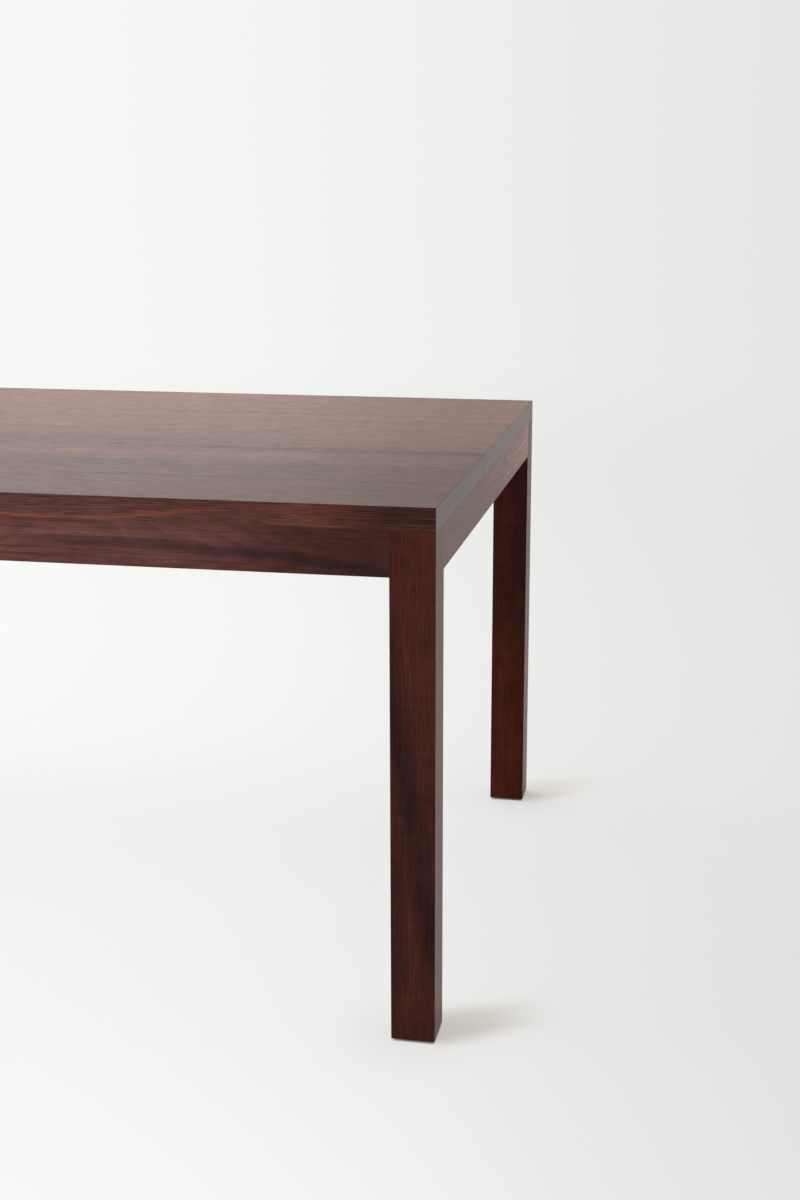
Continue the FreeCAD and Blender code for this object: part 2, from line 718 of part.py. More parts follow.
button_head = f"{TOP_UNDERSIDE} - {BUTTON_BASE} + button_seat"
button_screws = []
for side in ("-", ""):
    across = f"{side}( {LONG_FACE} - button_screw_place )"
    along = f"{side}( {END_FACE} - button_screw_place )"
    button_screws += [(x, across, button_head, UPRIGHT) for x in BAY_MIDDLES]
    button_screws += [(along, y, button_head, UPRIGHT) for y in END_BUTTONS]
pieces.append(make_screw_group("button_screws", f"( {BUTTON_BASE} - button_seat + top_bite )", button_screws))

block_screws = []
block_axis = "( leg_width + block_arm - block_screw_inset )"
block_head = "( apron_thickness + block_screw_wood )"
block_level = f"{BLOCK_BOTTOM} + block_height / 2"
for along, across, turn in CORNERS.values():
    to_long_side = FreeCAD.Rotation(FreeCAD.Vector(0, 0, 1), FreeCAD.Vector(0, across, 0))
    to_end = FreeCAD.Rotation(FreeCAD.Vector(0, 0, 1), FreeCAD.Vector(along, 0, 0))
    block_screws.append(
        (
            f"{along} * ( table_length / 2 - {block_axis} )",
            f"{across} * ( table_width / 2 - {block_head} )",
            block_level,
            to_long_side,
        )
    )
    block_screws.append(
        (
            f"{along} * ( table_length / 2 - {block_head} )",
            f"{across} * ( table_width / 2 - {block_axis} )",
            block_level,
            to_end,
        )
    )
pieces.append(make_screw_group("corner_block_screws", "( block_screw_wood + apron_bite )", block_screws))

doc.recompute()
for item in doc.Objects:
    if "Invalid" in item.State or "Error" in item.State:
        raise RuntimeError(f"{item.Label} failed: {item.State}")
for piece in pieces:
    if piece.Shape.isNull() or not piece.Shape.isValid() or not piece.Shape.Solids:
        raise RuntimeError(f"{piece.Label} has no sound shape")

os.makedirs("parts", exist_ok=True)
for piece in pieces:
    piece.Shape.exportStep(f"parts/{piece.Label}.step")
    print(piece.Label, len(piece.Shape.Solids), round(piece.Shape.Volume))
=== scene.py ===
"""Parsons dining table in solid walnut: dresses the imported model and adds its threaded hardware.

Lengths are in metres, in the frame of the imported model: +X along the table, +Y to its rear, +Z up.
"""

from __future__ import annotations

import logging
import math
from dataclasses import dataclass, replace
from enum import Enum

import bmesh
import bpy
from mathutils import Euler, Matrix, Vector

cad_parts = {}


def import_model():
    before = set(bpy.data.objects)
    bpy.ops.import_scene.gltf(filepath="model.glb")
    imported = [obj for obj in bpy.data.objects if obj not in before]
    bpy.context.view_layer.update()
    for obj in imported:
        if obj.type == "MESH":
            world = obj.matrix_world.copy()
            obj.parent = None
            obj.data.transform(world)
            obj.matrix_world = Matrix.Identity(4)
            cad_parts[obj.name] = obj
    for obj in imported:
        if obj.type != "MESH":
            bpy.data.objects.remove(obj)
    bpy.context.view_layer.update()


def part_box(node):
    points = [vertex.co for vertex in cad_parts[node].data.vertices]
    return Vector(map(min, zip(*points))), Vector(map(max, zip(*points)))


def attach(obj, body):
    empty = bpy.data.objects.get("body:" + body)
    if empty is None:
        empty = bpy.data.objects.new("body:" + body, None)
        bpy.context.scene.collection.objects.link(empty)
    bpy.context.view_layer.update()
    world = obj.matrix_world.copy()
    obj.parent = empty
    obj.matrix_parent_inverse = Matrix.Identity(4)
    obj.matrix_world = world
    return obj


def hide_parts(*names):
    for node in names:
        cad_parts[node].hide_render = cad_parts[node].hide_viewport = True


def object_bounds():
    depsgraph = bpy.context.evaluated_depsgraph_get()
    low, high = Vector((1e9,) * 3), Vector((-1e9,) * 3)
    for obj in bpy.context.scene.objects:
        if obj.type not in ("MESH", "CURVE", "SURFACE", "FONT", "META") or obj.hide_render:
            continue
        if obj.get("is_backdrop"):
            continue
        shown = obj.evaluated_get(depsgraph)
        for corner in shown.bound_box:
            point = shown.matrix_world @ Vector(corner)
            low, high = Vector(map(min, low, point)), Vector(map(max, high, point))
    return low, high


LOG = logging.getLogger("parsons_table")

Colour = tuple[float, float, float]
Triple = tuple[float, float, float]
Pair = tuple[float, float]
Feed = object  # an output socket, a number or a vector

CORNERS: dict[str, tuple[int, int]] = {
    "front_left": (-1, -1),
    "front_right": (1, -1),
    "rear_left": (-1, 1),
    "rear_right": (1, 1),
}
MERGE_GAP = 1e-7

# Noise cells in a metre, along a plank and across its two other axes.
SWAY_CELLS: Triple = (2.0, 6.0, 6.0)
WOBBLE_CELLS: Triple = (9.0, 70.0, 70.0)
UNEVEN_CELLS: Triple = (1.0, 0.4, 1.0)
PIGMENT_CELLS: Triple = (1.0, 34.0, 1.0)
FIBRE_CELLS: Triple = (22.0, 480.0, 480.0)
PORE_CELLS: Triple = (38.0, 1000.0, 1000.0)
RIPPLE_CELLS: Triple = (75.0, 16.0, 16.0)
MOTTLE_CELLS: Triple = (9.0, 24.0, 24.0)
WANDER_CELLS: Triple = (7.0, 11.0, 11.0)
FRAY_CELLS: Triple = (6.0, 260.0, 260.0)

# Smooth steps: where each starts and ends, and in the longer rows the results at both ends.
LATEWOOD_RISE: Pair = (0.30, 0.92)
LATEWOOD_FALL: Pair = (1.0, 0.93)
BAND_STEP: Pair = (0.22, 0.78)
FIBRE_STEP: Pair = (0.32, 0.68)
PORE_STEP: Pair = (0.56, 0.68)
CURL_STEP: Pair = (0.30, 0.70)
DARK_TO_MIDDLE: Pair = (0.12, 0.52)
MIDDLE_TO_LIGHT: Pair = (0.48, 0.88)
STREAK_STEP: Pair = (1.0, 0.05)
FRAY_STEP = (0.2, 0.6, 0.35, 1.0)
SKIN_STEP: Pair = (0.25, 0.75)
FACE_STEP: Pair = (0.55, 0.9)
END_RELIEF = (0.0, 1.0, 0.60, 0.12)
BACKDROP_STEP = (-0.55, 0.30, 0.95, 0.74)
WINDOW_STEP = (-0.27, -0.16, 1.0, 0.54)
FAR_WALL_STEP = (-0.08, 0.06, 0.0, 0.20)
BEHIND_STEP: Pair = (0.15, -0.45)
BESIDE_STEP: Pair = (-0.80, -0.05)
DIM_STEP = (0.0, 1.0, 1.0, 0.30)

# How the figure is put together.
NOISE_MIDDLE = 0.5
RING_WOBBLE = 0.0016
UNEVEN_REACH = 0.34
UNEVEN_YEARS = 2.2
PIGMENT_REACH = 0.45
RIPPLE_SHARE = 0.4
MOTTLE_SHARE = 0.6
STREAK_WANDER = 0.014
STREAK_TIP = 0.16
EDGE_LINE_WIDTH = 0.0008
SEED_SPREAD: Triple = (3.71, 1.37, 2.23)

# How the figure shades a plank, roughens it and stands in relief.
RING_SHADE: Colour = (0.34, 0.27, 0.26)
PORE_SHADE: Colour = (0.26, 0.20, 0.18)
END_SHADE: Colour = (0.55, 0.46, 0.45)
EDGE_SHADE: Colour = (0.42, 0.38, 0.36)
END_DEPTH = 0.80
EDGE_DEPTH = 0.20
PORE_ROUGHNESS = 0.12
FIBRE_ROUGHNESS = -0.07
FIBRE_HEIGHT = 0.35
PORE_HEIGHT = -0.65
RING_HEIGHT = -0.15
WOOD_RELIEF = 0.0002
SHEEN_SPREAD = 0.45

# Metal and nylon.
CLOUD_SCALE = 120.0
SPECK_ROUGHNESS = 0.12
HARDWARE_RELIEF = 0.0001

BLACK: Colour = (0.0, 0.0, 0.0)
WHITE: Colour = (1.0, 1.0, 1.0)
STUDIO_WHITE: Colour = (1.0, 0.998, 0.99)


class Kind(Enum):
    """The sorts of socket that a node group has."""

    VALUE = "NodeSocketFloat"
    COLOUR = "NodeSocketColor"
    VECTOR = "NodeSocketVector"


class Grain(Enum):
    """The way a piece's grain runs, as the turn that lays it along X."""

    ALONG = (0.0, 0.0, 0.0)
    ACROSS = (0.0, 0.0, -math.pi / 2)
    UPRIGHT = (0.0, math.pi / 2, 0.0)
    SLANT_LEFT = (0.0, 0.0, math.pi / 4)
    SLANT_RIGHT = (0.0, 0.0, -math.pi / 4)

    @property
    def square(self) -> bool:
        """Whether the grain runs along one of the table's axes."""
        return self not in (Grain.SLANT_LEFT, Grain.SLANT_RIGHT)


class Side(Enum):
    """The axis of a plank that a streak lies across."""

    WIDTH = 1
    DEPTH = 2


def opaque(colour: Colour) -> tuple[float, float, float, float]:
    """The colour with a full alpha."""
    return (*colour, 1.0)


def scaled(colour: Colour, factor: float) -> Colour:
    """The colour made lighter or darker by a factor."""
    return tuple(channel * factor for channel in colour)


class Bench:
    """Places and joins the nodes of one shader tree."""

    COLUMNS = 9
    COLUMN_STEP = 190
    ROW_STEP = 230
    MIX_FACTOR, MIX_FIRST, MIX_SECOND, MIX_RESULT = 0, 6, 7, 2

    def __init__(self, tree: bpy.types.NodeTree) -> None:
        """Starts work on a tree.

        Args:
            tree: The node tree of a material, a world or a group.
        """
        self.tree = tree
        self.count = 0

    def node(self, kind: str, **settings: object) -> bpy.types.Node:
        """Adds a node.

        Args:
            kind: Blender's name of the node type.
            **settings: The node's own properties.

        Returns:
            The new node.
        """
        node = self.tree.nodes.new(kind)
        for name, value in settings.items():
            setattr(node, name, value)
        row, column = divmod(self.count, self.COLUMNS)
        node.location = (self.COLUMN_STEP * column, -self.ROW_STEP * row)
        self.count += 1
        return node

    def feed(self, socket: bpy.types.NodeSocket, value: Feed) -> None:
        """Links a socket to an output, or sets a plain value on it.

        Args:
            socket: The socket to feed.
            value: An output socket, a number or a vector.
        """
        if isinstance(value, bpy.types.NodeSocket):
            self.tree.links.new(value, socket)
        else:
            socket.default_value = value

    def maths(self, operation: str, *values: Feed) -> bpy.types.NodeSocket:
        """Works on plain numbers.

        Args:
            operation: The name of the Math node's operation.
            *values: What goes into its sockets.

        Returns:
            The result's socket.
        """
        node = self.node("ShaderNodeMath", operation=operation)
        for socket, value in zip(node.inputs, values):
            self.feed(socket, value)
        return node.outputs[0]

    def vector(self, operation: str, *values: Feed, by: Feed = None) -> bpy.types.NodeSocket:
        """Works on vectors.

        Args:
            operation: The name of the Vector Math node's operation.
            *values: What goes into its vector sockets.
            by: The factor of a SCALE operation.

        Returns:
            The result's socket.
        """
        node = self.node("ShaderNodeVectorMath", operation=operation)
        for socket, value in zip(node.inputs, values):
            self.feed(socket, value)
        if by is not None:
            self.feed(node.inputs["Scale"], by)
        return node.outputs["Value" if operation in ("LENGTH", "DOT_PRODUCT") else "Vector"]

    def split(self, vector: Feed) -> list[bpy.types.NodeSocket]:
        """Takes a vector apart.

        Args:
            vector: The vector's socket.

        Returns:
            The sockets of its three parts.
        """
        node = self.node("ShaderNodeSeparateXYZ")
        self.feed(node.inputs[0], vector)
        return list(node.outputs)

    def join(self, *parts: Feed) -> bpy.types.NodeSocket:
        """Makes a vector.

        Args:
            *parts: Its three parts.

        Returns:
            The vector's socket.
        """
        node = self.node("ShaderNodeCombineXYZ")
        for socket, part in zip(node.inputs, parts):
            self.feed(socket, part)
        return node.outputs[0]

    def noise(self, vector: Feed, stretch: Triple, detail: float, coarse: float = 0.5) -> bpy.types.Node:
        """Adds a noise texture.

        Args:
            vector: The place to look up, in metres.
            stretch: Noise cells per metre along each axis.
            detail: Number of finer layers.
            coarse: How strong the finer layers are.

        Returns:
            The noise node, with its value first and its colour second.
        """
        node = self.node("ShaderNodeTexNoise", noise_dimensions="3D")
        self.feed(node.inputs["Vector"], self.vector("MULTIPLY", vector, stretch))
        node.inputs["Scale"].default_value = 1.0
        node.inputs["Detail"].default_value = detail
        node.inputs["Roughness"].default_value = coarse
        return node

    def fade(
        self, value: Feed, start: Feed, end: Feed, low: Feed = 0.0, high: Feed = 1.0
    ) -> bpy.types.NodeSocket:
        """A smooth step from low at start to high at end.

        Args:
            value: The number that runs from start to end.
            start: Where the step begins.
            end: Where the step ends.
            low: Result up to the start.
            high: Result from the end on.

        Returns:
            The result's socket.
        """
        node = self.node("ShaderNodeMapRange", interpolation_type="SMOOTHSTEP")
        for socket, item in zip(node.inputs, (value, start, end, low, high)):
            self.feed(socket, item)
        return node.outputs[0]

    def mix(self, factor: Feed, first: Feed, second: Feed, blend: str = "MIX") -> bpy.types.NodeSocket:
        """Mixes two colours.

        Args:
            factor: Share of the second colour.
            first: The colour to start from.
            second: The colour laid over it.
            blend: Blender's name of the way they mix.

        Returns:
            The mixed colour's socket.
        """
        node = self.node("ShaderNodeMix", data_type="RGBA", blend_type=blend)
        self.feed(node.inputs[self.MIX_FACTOR], factor)
        self.feed(node.inputs[self.MIX_FIRST], first)
        self.feed(node.inputs[self.MIX_SECOND], second)
        return node.outputs[self.MIX_RESULT]

    def place(self, group: bpy.types.NodeTree, feeds: dict[str, Feed]) -> bpy.types.Node:
        """Places a node group.

        Args:
            group: The group's tree.
            feeds: What goes into its named inputs.

        Returns:
            The group's node.
        """
        node = self.node("ShaderNodeGroup", node_tree=group)
        for name, value in feeds.items():
            self.feed(node.inputs[name], value)
        return node


class GroupBench(Bench):
    """Builds one shader node group with named inputs and outputs."""

    def __init__(self, name: str, takes: dict[str, Kind], gives: dict[str, Kind]) -> None:
        """Makes the empty group.

        Args:
            name: The group's name.
            takes: Its inputs by name.
            gives: Its outputs by name.
        """
        super().__init__(bpy.data.node_groups.new(name, "ShaderNodeTree"))
        for label, kind in takes.items():
            self.tree.interface.new_socket(name=label, in_out="INPUT", socket_type=kind.value)
        for label, kind in gives.items():
            self.tree.interface.new_socket(name=label, in_out="OUTPUT", socket_type=kind.value)
        self.takes = self.node("NodeGroupInput").outputs
        self.gives = self.node("NodeGroupOutput").inputs


def make_plank_figure() -> bpy.types.NodeTree:
    """The figure of sawn wood, from year rings round a pith that lies off the plank.

    Returns:
        A group that gives bands of pigment, ring lines, fibres, pores and a cross curl.
    """
    takes = {name: Kind.VECTOR for name in ("Vector", "Pith", "Drift", "Seed")}
    takes.update({name: Kind.VALUE for name in ("Ring Width", "Sway")})
    gives = {name: Kind.VALUE for name in ("Bands", "Rings", "Fibre", "Pores", "Curl")}
    bench = GroupBench("plank_figure", takes, gives)
    takes = bench.takes
    place = takes["Vector"]
    own = bench.vector("ADD", place, takes["Seed"])
    along = bench.split(place)[0]
    sway = bench.vector("SUBTRACT", bench.noise(own, SWAY_CELLS, 2.0).outputs[1], (NOISE_MIDDLE,) * 3)
    pith = bench.vector("ADD", takes["Pith"], bench.vector("SCALE", takes["Drift"], by=along))
    radial = bench.vector("SUBTRACT", place, pith)
    radial = bench.vector("ADD", radial, bench.vector("SCALE", sway, by=takes["Sway"]))
    radius = bench.vector("LENGTH", bench.vector("MULTIPLY", radial, (0.0, 1.0, 1.0)))
    wobble = bench.maths("SUBTRACT", bench.noise(own, WOBBLE_CELLS, 2.0).outputs[0], NOISE_MIDDLE)
    radius = bench.maths("MULTIPLY_ADD", wobble, RING_WOBBLE, radius)
    year = bench.maths("DIVIDE", radius, takes["Ring Width"])
    reach = bench.join(bench.maths("MULTIPLY", year, UNEVEN_REACH), along, 0.0)
    uneven = bench.noise(reach, UNEVEN_CELLS, 1.0)
    year = bench.maths("MULTIPLY_ADD", uneven.outputs[0], UNEVEN_YEARS, year)
    phase = bench.maths("FRACT", year)
    line = bench.maths("MULTIPLY", bench.fade(phase, *LATEWOOD_RISE), bench.fade(phase, *LATEWOOD_FALL))
    reach = bench.join(bench.maths("MULTIPLY", along, PIGMENT_REACH), radius, 0.0)
    pigment = bench.noise(bench.vector("ADD", reach, takes["Seed"]), PIGMENT_CELLS, 3.0)
    fibre = bench.noise(own, FIBRE_CELLS, 4.0, coarse=0.60)
    pores = bench.noise(own, PORE_CELLS, 2.0)
    ripple = bench.fade(bench.noise(own, RIPPLE_CELLS, 2.0).outputs[0], *CURL_STEP)
    mottle = bench.fade(bench.noise(own, MOTTLE_CELLS, 3.0).outputs[0], *CURL_STEP)
    mottle = bench.maths("MULTIPLY", mottle, MOTTLE_SHARE)
    bench.feed(bench.gives["Bands"], bench.fade(pigment.outputs[0], *BAND_STEP))
    bench.feed(bench.gives["Rings"], line)
    bench.feed(bench.gives["Fibre"], bench.fade(fibre.outputs[0], *FIBRE_STEP))
    bench.feed(bench.gives["Pores"], bench.fade(pores.outputs[0], *PORE_STEP))
    bench.feed(bench.gives["Curl"], bench.maths("MULTIPLY_ADD", ripple, RIPPLE_SHARE, mottle))
    return bench.tree


def make_plank_colour() -> bpy.types.NodeTree:
    """The colour, roughness and relief of a plank from its figure.

    Returns:
        A group that takes the figure and three tones of one wood.
    """
    figure = ("Bands", "Rings", "Fibre", "Pores", "Curl", "End Grain", "Edge")
    depths = ("Ring Depth", "Fibre Depth", "Pore Depth", "Curl Depth", "Satin")
    takes = {name: Kind.COLOUR for name in ("Dark", "Middle", "Light")}
    takes.update({name: Kind.VALUE for name in figure + depths})
    gives = {"Color": Kind.COLOUR, "Roughness": Kind.VALUE, "Height": Kind.VALUE}
    bench = GroupBench("plank_colour", takes, gives)
    takes = bench.takes
    curl = bench.maths("SUBTRACT", takes["Curl"], takes["Bands"])
    tone = bench.maths("MULTIPLY_ADD", curl, takes["Curl Depth"], takes["Bands"])
    fibre = bench.maths("SUBTRACT", takes["Fibre"], tone)
    tone = bench.maths("MULTIPLY_ADD", fibre, takes["Fibre Depth"], tone)
    colour = bench.mix(bench.fade(tone, *DARK_TO_MIDDLE), takes["Dark"], takes["Middle"])
    colour = bench.mix(bench.fade(tone, *MIDDLE_TO_LIGHT), colour, takes["Light"])
    shades: tuple[tuple[str, Feed, Colour], ...] = (
        ("Rings", takes["Ring Depth"], RING_SHADE),
        ("Pores", takes["Pore Depth"], PORE_SHADE),
        ("End Grain", END_DEPTH, END_SHADE),
        ("Edge", EDGE_DEPTH, EDGE_SHADE),
    )
    for mask, depth, shade in shades:
        share = bench.maths("MULTIPLY", takes[mask], depth)
        colour = bench.mix(share, colour, opaque(shade), "MULTIPLY")
    rough = bench.maths("MULTIPLY_ADD", takes["Pores"], PORE_ROUGHNESS, takes["Satin"])
    rough = bench.maths("MULTIPLY_ADD", takes["Fibre"], FIBRE_ROUGHNESS, rough)
    height = bench.maths("MULTIPLY", takes["Fibre"], FIBRE_HEIGHT)
    height = bench.maths("MULTIPLY_ADD", takes["Pores"], PORE_HEIGHT, height)
    height = bench.maths("MULTIPLY_ADD", takes["Rings"], RING_HEIGHT, height)
    bench.feed(bench.gives["Color"], colour)
    bench.feed(bench.gives["Roughness"], rough)
    bench.feed(bench.gives["Height"], height)
    return bench.tree


def make_edge_line() -> bpy.types.NodeTree:
    """The narrow line along the edges of a block-shaped piece, where the finish gathers.

    Returns:
        A group that takes a place and half the piece's size.
    """
    bench = GroupBench("edge_line", {"Vector": Kind.VECTOR, "Half": Kind.VECTOR}, {"Line": Kind.VALUE})
    gap = bench.vector("SUBTRACT", bench.takes["Half"], bench.vector("ABSOLUTE", bench.takes["Vector"]))
    first, second, third = bench.split(gap)
    low = bench.maths("MINIMUM", first, second)
    high = bench.maths("MAXIMUM", first, second)
    middle = bench.maths("MAXIMUM", low, bench.maths("MINIMUM", high, third))
    bench.feed(bench.gives["Line"], bench.fade(middle, EDGE_LINE_WIDTH, 0.0))
    return bench.tree


def make_streak_band() -> bpy.types.NodeTree:
    """A long soft band that wanders along a plank: a streak of pigment, and on some pieces painted light and
    shade.

    Returns:
        A group that gives the streak's mask.
    """
    numbers = ("Along", "Across", "Offset", "Slope", "Curve", "Width", "Start", "End")
    takes = {name: Kind.VALUE for name in numbers}
    takes["Place"] = Kind.VECTOR
    bench = GroupBench("streak_band", takes, {"Mask": Kind.VALUE})
    takes = bench.takes
    along = takes["Along"]
    wander = bench.noise(takes["Place"], WANDER_CELLS, 3.0).outputs[0]
    wander = bench.maths("SUBTRACT", wander, NOISE_MIDDLE)
    centre = bench.maths("MULTIPLY_ADD", takes["Slope"], along, takes["Offset"])
    centre = bench.maths("MULTIPLY_ADD", takes["Curve"], bench.maths("MULTIPLY", along, along), centre)
    centre = bench.maths("MULTIPLY_ADD", wander, STREAK_WANDER, centre)
    miss = bench.maths("ABSOLUTE", bench.maths("SUBTRACT", takes["Across"], centre))
    mask = bench.fade(bench.maths("DIVIDE", miss, takes["Width"]), *STREAK_STEP)
    rise = bench.fade(along, takes["Start"], bench.maths("ADD", takes["Start"], STREAK_TIP))
    fall = bench.fade(along, takes["End"], bench.maths("SUBTRACT", takes["End"], STREAK_TIP))
    frayed = bench.fade(bench.noise(takes["Place"], FRAY_CELLS, 2.0).outputs[0], *FRAY_STEP)
    tips = bench.maths("MULTIPLY", rise, fall)
    mask = bench.maths("MULTIPLY", bench.maths("MULTIPLY", mask, frayed), tips)
    bench.feed(bench.gives["Mask"], mask)
    return bench.tree


def make_fine_skin() -> bpy.types.NodeTree:
    """Fine mottling for metal, moulded nylon and the floor.

    Returns:
        A group that gives a broad cloud and a fine speckle.
    """
    takes = {"Vector": Kind.VECTOR, "Cloud Scale": Kind.VALUE, "Speck Scale": Kind.VALUE}
    bench = GroupBench("fine_skin", takes, {"Cloud": Kind.VALUE, "Speck": Kind.VALUE})
    for name, detail in (("Cloud", 3.0), ("Speck", 1.0)):
        noise = bench.noise(bench.takes["Vector"], (1.0, 1.0, 1.0), detail)
        bench.feed(noise.inputs["Scale"], bench.takes[f"{name} Scale"])
        bench.feed(bench.gives[name], bench.fade(noise.outputs[0], *SKIN_STEP))
    return bench.tree


def make_backdrop_tone() -> bpy.types.NodeTree:
    """The white of the studio, brighter towards its window and dim behind the camera.

    Returns:
        A group that gives the backdrop's colour in a direction, and the room's colour as the table sees it.
    """
    gives = {"Color": Kind.COLOUR, "Room": Kind.COLOUR}
    bench = GroupBench("backdrop_tone", {"Direction": Kind.VECTOR}, gives)
    lean, depth, _ = bench.split(bench.takes["Direction"])
    level = bench.fade(lean, *BACKDROP_STEP)
    dim = bench.maths("MULTIPLY", bench.fade(depth, *BEHIND_STEP), bench.fade(lean, *BESIDE_STEP))
    room = bench.maths("ADD", bench.fade(lean, *WINDOW_STEP), bench.fade(lean, *FAR_WALL_STEP))
    room = bench.maths("MULTIPLY", room, bench.fade(dim, *DIM_STEP))
    for name, value in (("Color", level), ("Room", room)):
        bench.feed(bench.gives[name], bench.mix(value, opaque(BLACK), opaque(STUDIO_WHITE)))
    return bench.tree


@dataclass
class Effects:
    """The node groups that the materials share."""

    figure: bpy.types.NodeTree
    colour: bpy.types.NodeTree
    edge: bpy.types.NodeTree
    streak: bpy.types.NodeTree
    skin: bpy.types.NodeTree
    backdrop: bpy.types.NodeTree


@dataclass(frozen=True)
class Timber:
    """A wood and its surface: three tones and how strongly its figure shows.

    edge_tint colours the long narrow faces of a board, and sheen is the pale bloom of a low view.
    """

    name: str
    dark: Colour
    middle: Colour
    light: Colour
    satin: float
    shine: float
    ring_depth: float
    fibre_depth: float
    pore_depth: float
    curl_depth: float
    sheen: float = 0.0
    sheen_tint: Colour = WHITE
    edge_tint: Colour = WHITE


@dataclass(frozen=True)
class Sawing:
    """How a plank lay in its log, which decides the figure on its faces.

    pith gives the pith's place off the plank's middle across its two short axes, drift how far it
    moves along them in a metre of length, ring the width of a year ring and sway how far it strays.
    """

    pith: Pair
    drift: Pair
    ring: float
    sway: float
    seed: float
    # tone scales the wood's three tones; on the top's boards it also carries painted light.
    tone: float = 1.0


@dataclass(frozen=True)
class Streak:
    """A darker or lighter band along a plank: most are streaks of heartwood, some are painted light and
    shade.

    Its middle lies at offset + slope * x + curve * x * x, with x along the plank from its middle.
    """

    side: Side
    offset: float
    width: float
    tint: Colour
    strength: float
    start: float = -9.0
    end: float = 9.0
    slope: float = 0.0
    curve: float = 0.0
    edge_only: bool = False


@dataclass(frozen=True)
class Hardware:
    """A metal or moulded finish."""

    name: str
    colour: Colour
    shade: Colour
    metallic: float
    roughness: float
    speck_scale: float
    relief: float


TOP_WALNUT = Timber(
    name="top_walnut",
    dark=(0.108, 0.053, 0.043),
    middle=(0.168, 0.082, 0.063),
    light=(0.216, 0.112, 0.086),
    satin=0.35,
    shine=0.16,
    ring_depth=0.36,
    fibre_depth=0.58,
    pore_depth=0.85,
    curl_depth=0.22,
    sheen=0.16,
    sheen_tint=(1.0, 0.77, 0.70),
    edge_tint=(0.86, 0.63, 0.64),
)
APRON_WALNUT = Timber(
    name="apron_walnut",
    dark=(0.046, 0.0132, 0.0107),
    middle=(0.070, 0.0186, 0.0140),
    light=(0.104, 0.032, 0.0215),
    satin=0.36,
    shine=0.13,
    ring_depth=0.25,
    fibre_depth=0.26,
    pore_depth=0.40,
    curl_depth=0.20,
)
# A paler copy of the apron walnut for the right apron: its lighter tones are painted sheen for the pale look
# of the table's end at a low view.
LIT_APRON_WALNUT = Timber(
    name="apron_walnut",
    dark=(0.060, 0.024, 0.018),
    middle=(0.130, 0.056, 0.042),
    light=(0.210, 0.096, 0.072),
    satin=0.34,
    shine=0.050,
    ring_depth=0.55,
    fibre_depth=0.34,
    pore_depth=0.45,
    curl_depth=0.25,
    sheen=0.35,
    sheen_tint=(1.0, 0.60, 0.52),
)
LEG_WALNUT = Timber(
    name="leg_walnut",
    dark=(0.036, 0.0096, 0.0074),
    middle=(0.076, 0.0182, 0.0120),
    light=(0.114, 0.031, 0.0185),
    satin=0.34,
    shine=0.052,
    ring_depth=0.16,
    fibre_depth=0.36,
    pore_depth=0.40,
    curl_depth=0.50,
    sheen=0.34,
    sheen_tint=(1.0, 0.58, 0.50),
)
BRACE_WALNUT = Timber(
    name="brace_walnut",
    dark=(0.085, 0.045, 0.030),
    middle=(0.140, 0.078, 0.052),
    light=(0.190, 0.112, 0.076),
    satin=0.62,
    shine=0.30,
    ring_depth=0.50,
    fibre_depth=0.40,
    pore_depth=0.45,
    curl_depth=0.20,
)
BUTTON_MAPLE = Timber(
    name="button_maple",
    dark=(0.430, 0.280, 0.155),
    middle=(0.520, 0.360, 0.210),
    light=(0.600, 0.440, 0.280),
    satin=0.55,
    shine=0.35,
    ring_depth=0.22,
    fibre_depth=0.36,
    pore_depth=0.12,
    curl_depth=0.40,
)
ZINC = Hardware(
    name="screw_steel",
    colour=(0.60, 0.59, 0.56),
    shade=(0.40, 0.39, 0.37),
    metallic=1.0,
    roughness=0.34,
    speck_scale=900.0,
    relief=0.04,
)
BRASS = Hardware(
    name="insert_brass",
    colour=(0.74, 0.55, 0.25),
    shade=(0.52, 0.36, 0.14),
    metallic=1.0,
    roughness=0.32,
    speck_scale=700.0,
    relief=0.04,
)
NYLON = Hardware(
    name="glide_nylon",
    colour=(0.022, 0.020, 0.019),
    shade=(0.012, 0.011, 0.011),
    metallic=0.0,
    roughness=0.52,
    speck_scale=2200.0,
    relief=0.25,
)

# Tints of the streaks; the last one is painted sheen that makes the right apron paler towards its rear.
DUSK: Colour = (0.46, 0.49, 0.54)
GLOW: Colour = (1.34, 1.28, 1.20)
SHADOW: Colour = (0.42, 0.48, 0.54)
HEART: Colour = (0.38, 0.50, 0.72)
END_PAINTED_SHEEN: Colour = (1.74, 1.80, 1.84)
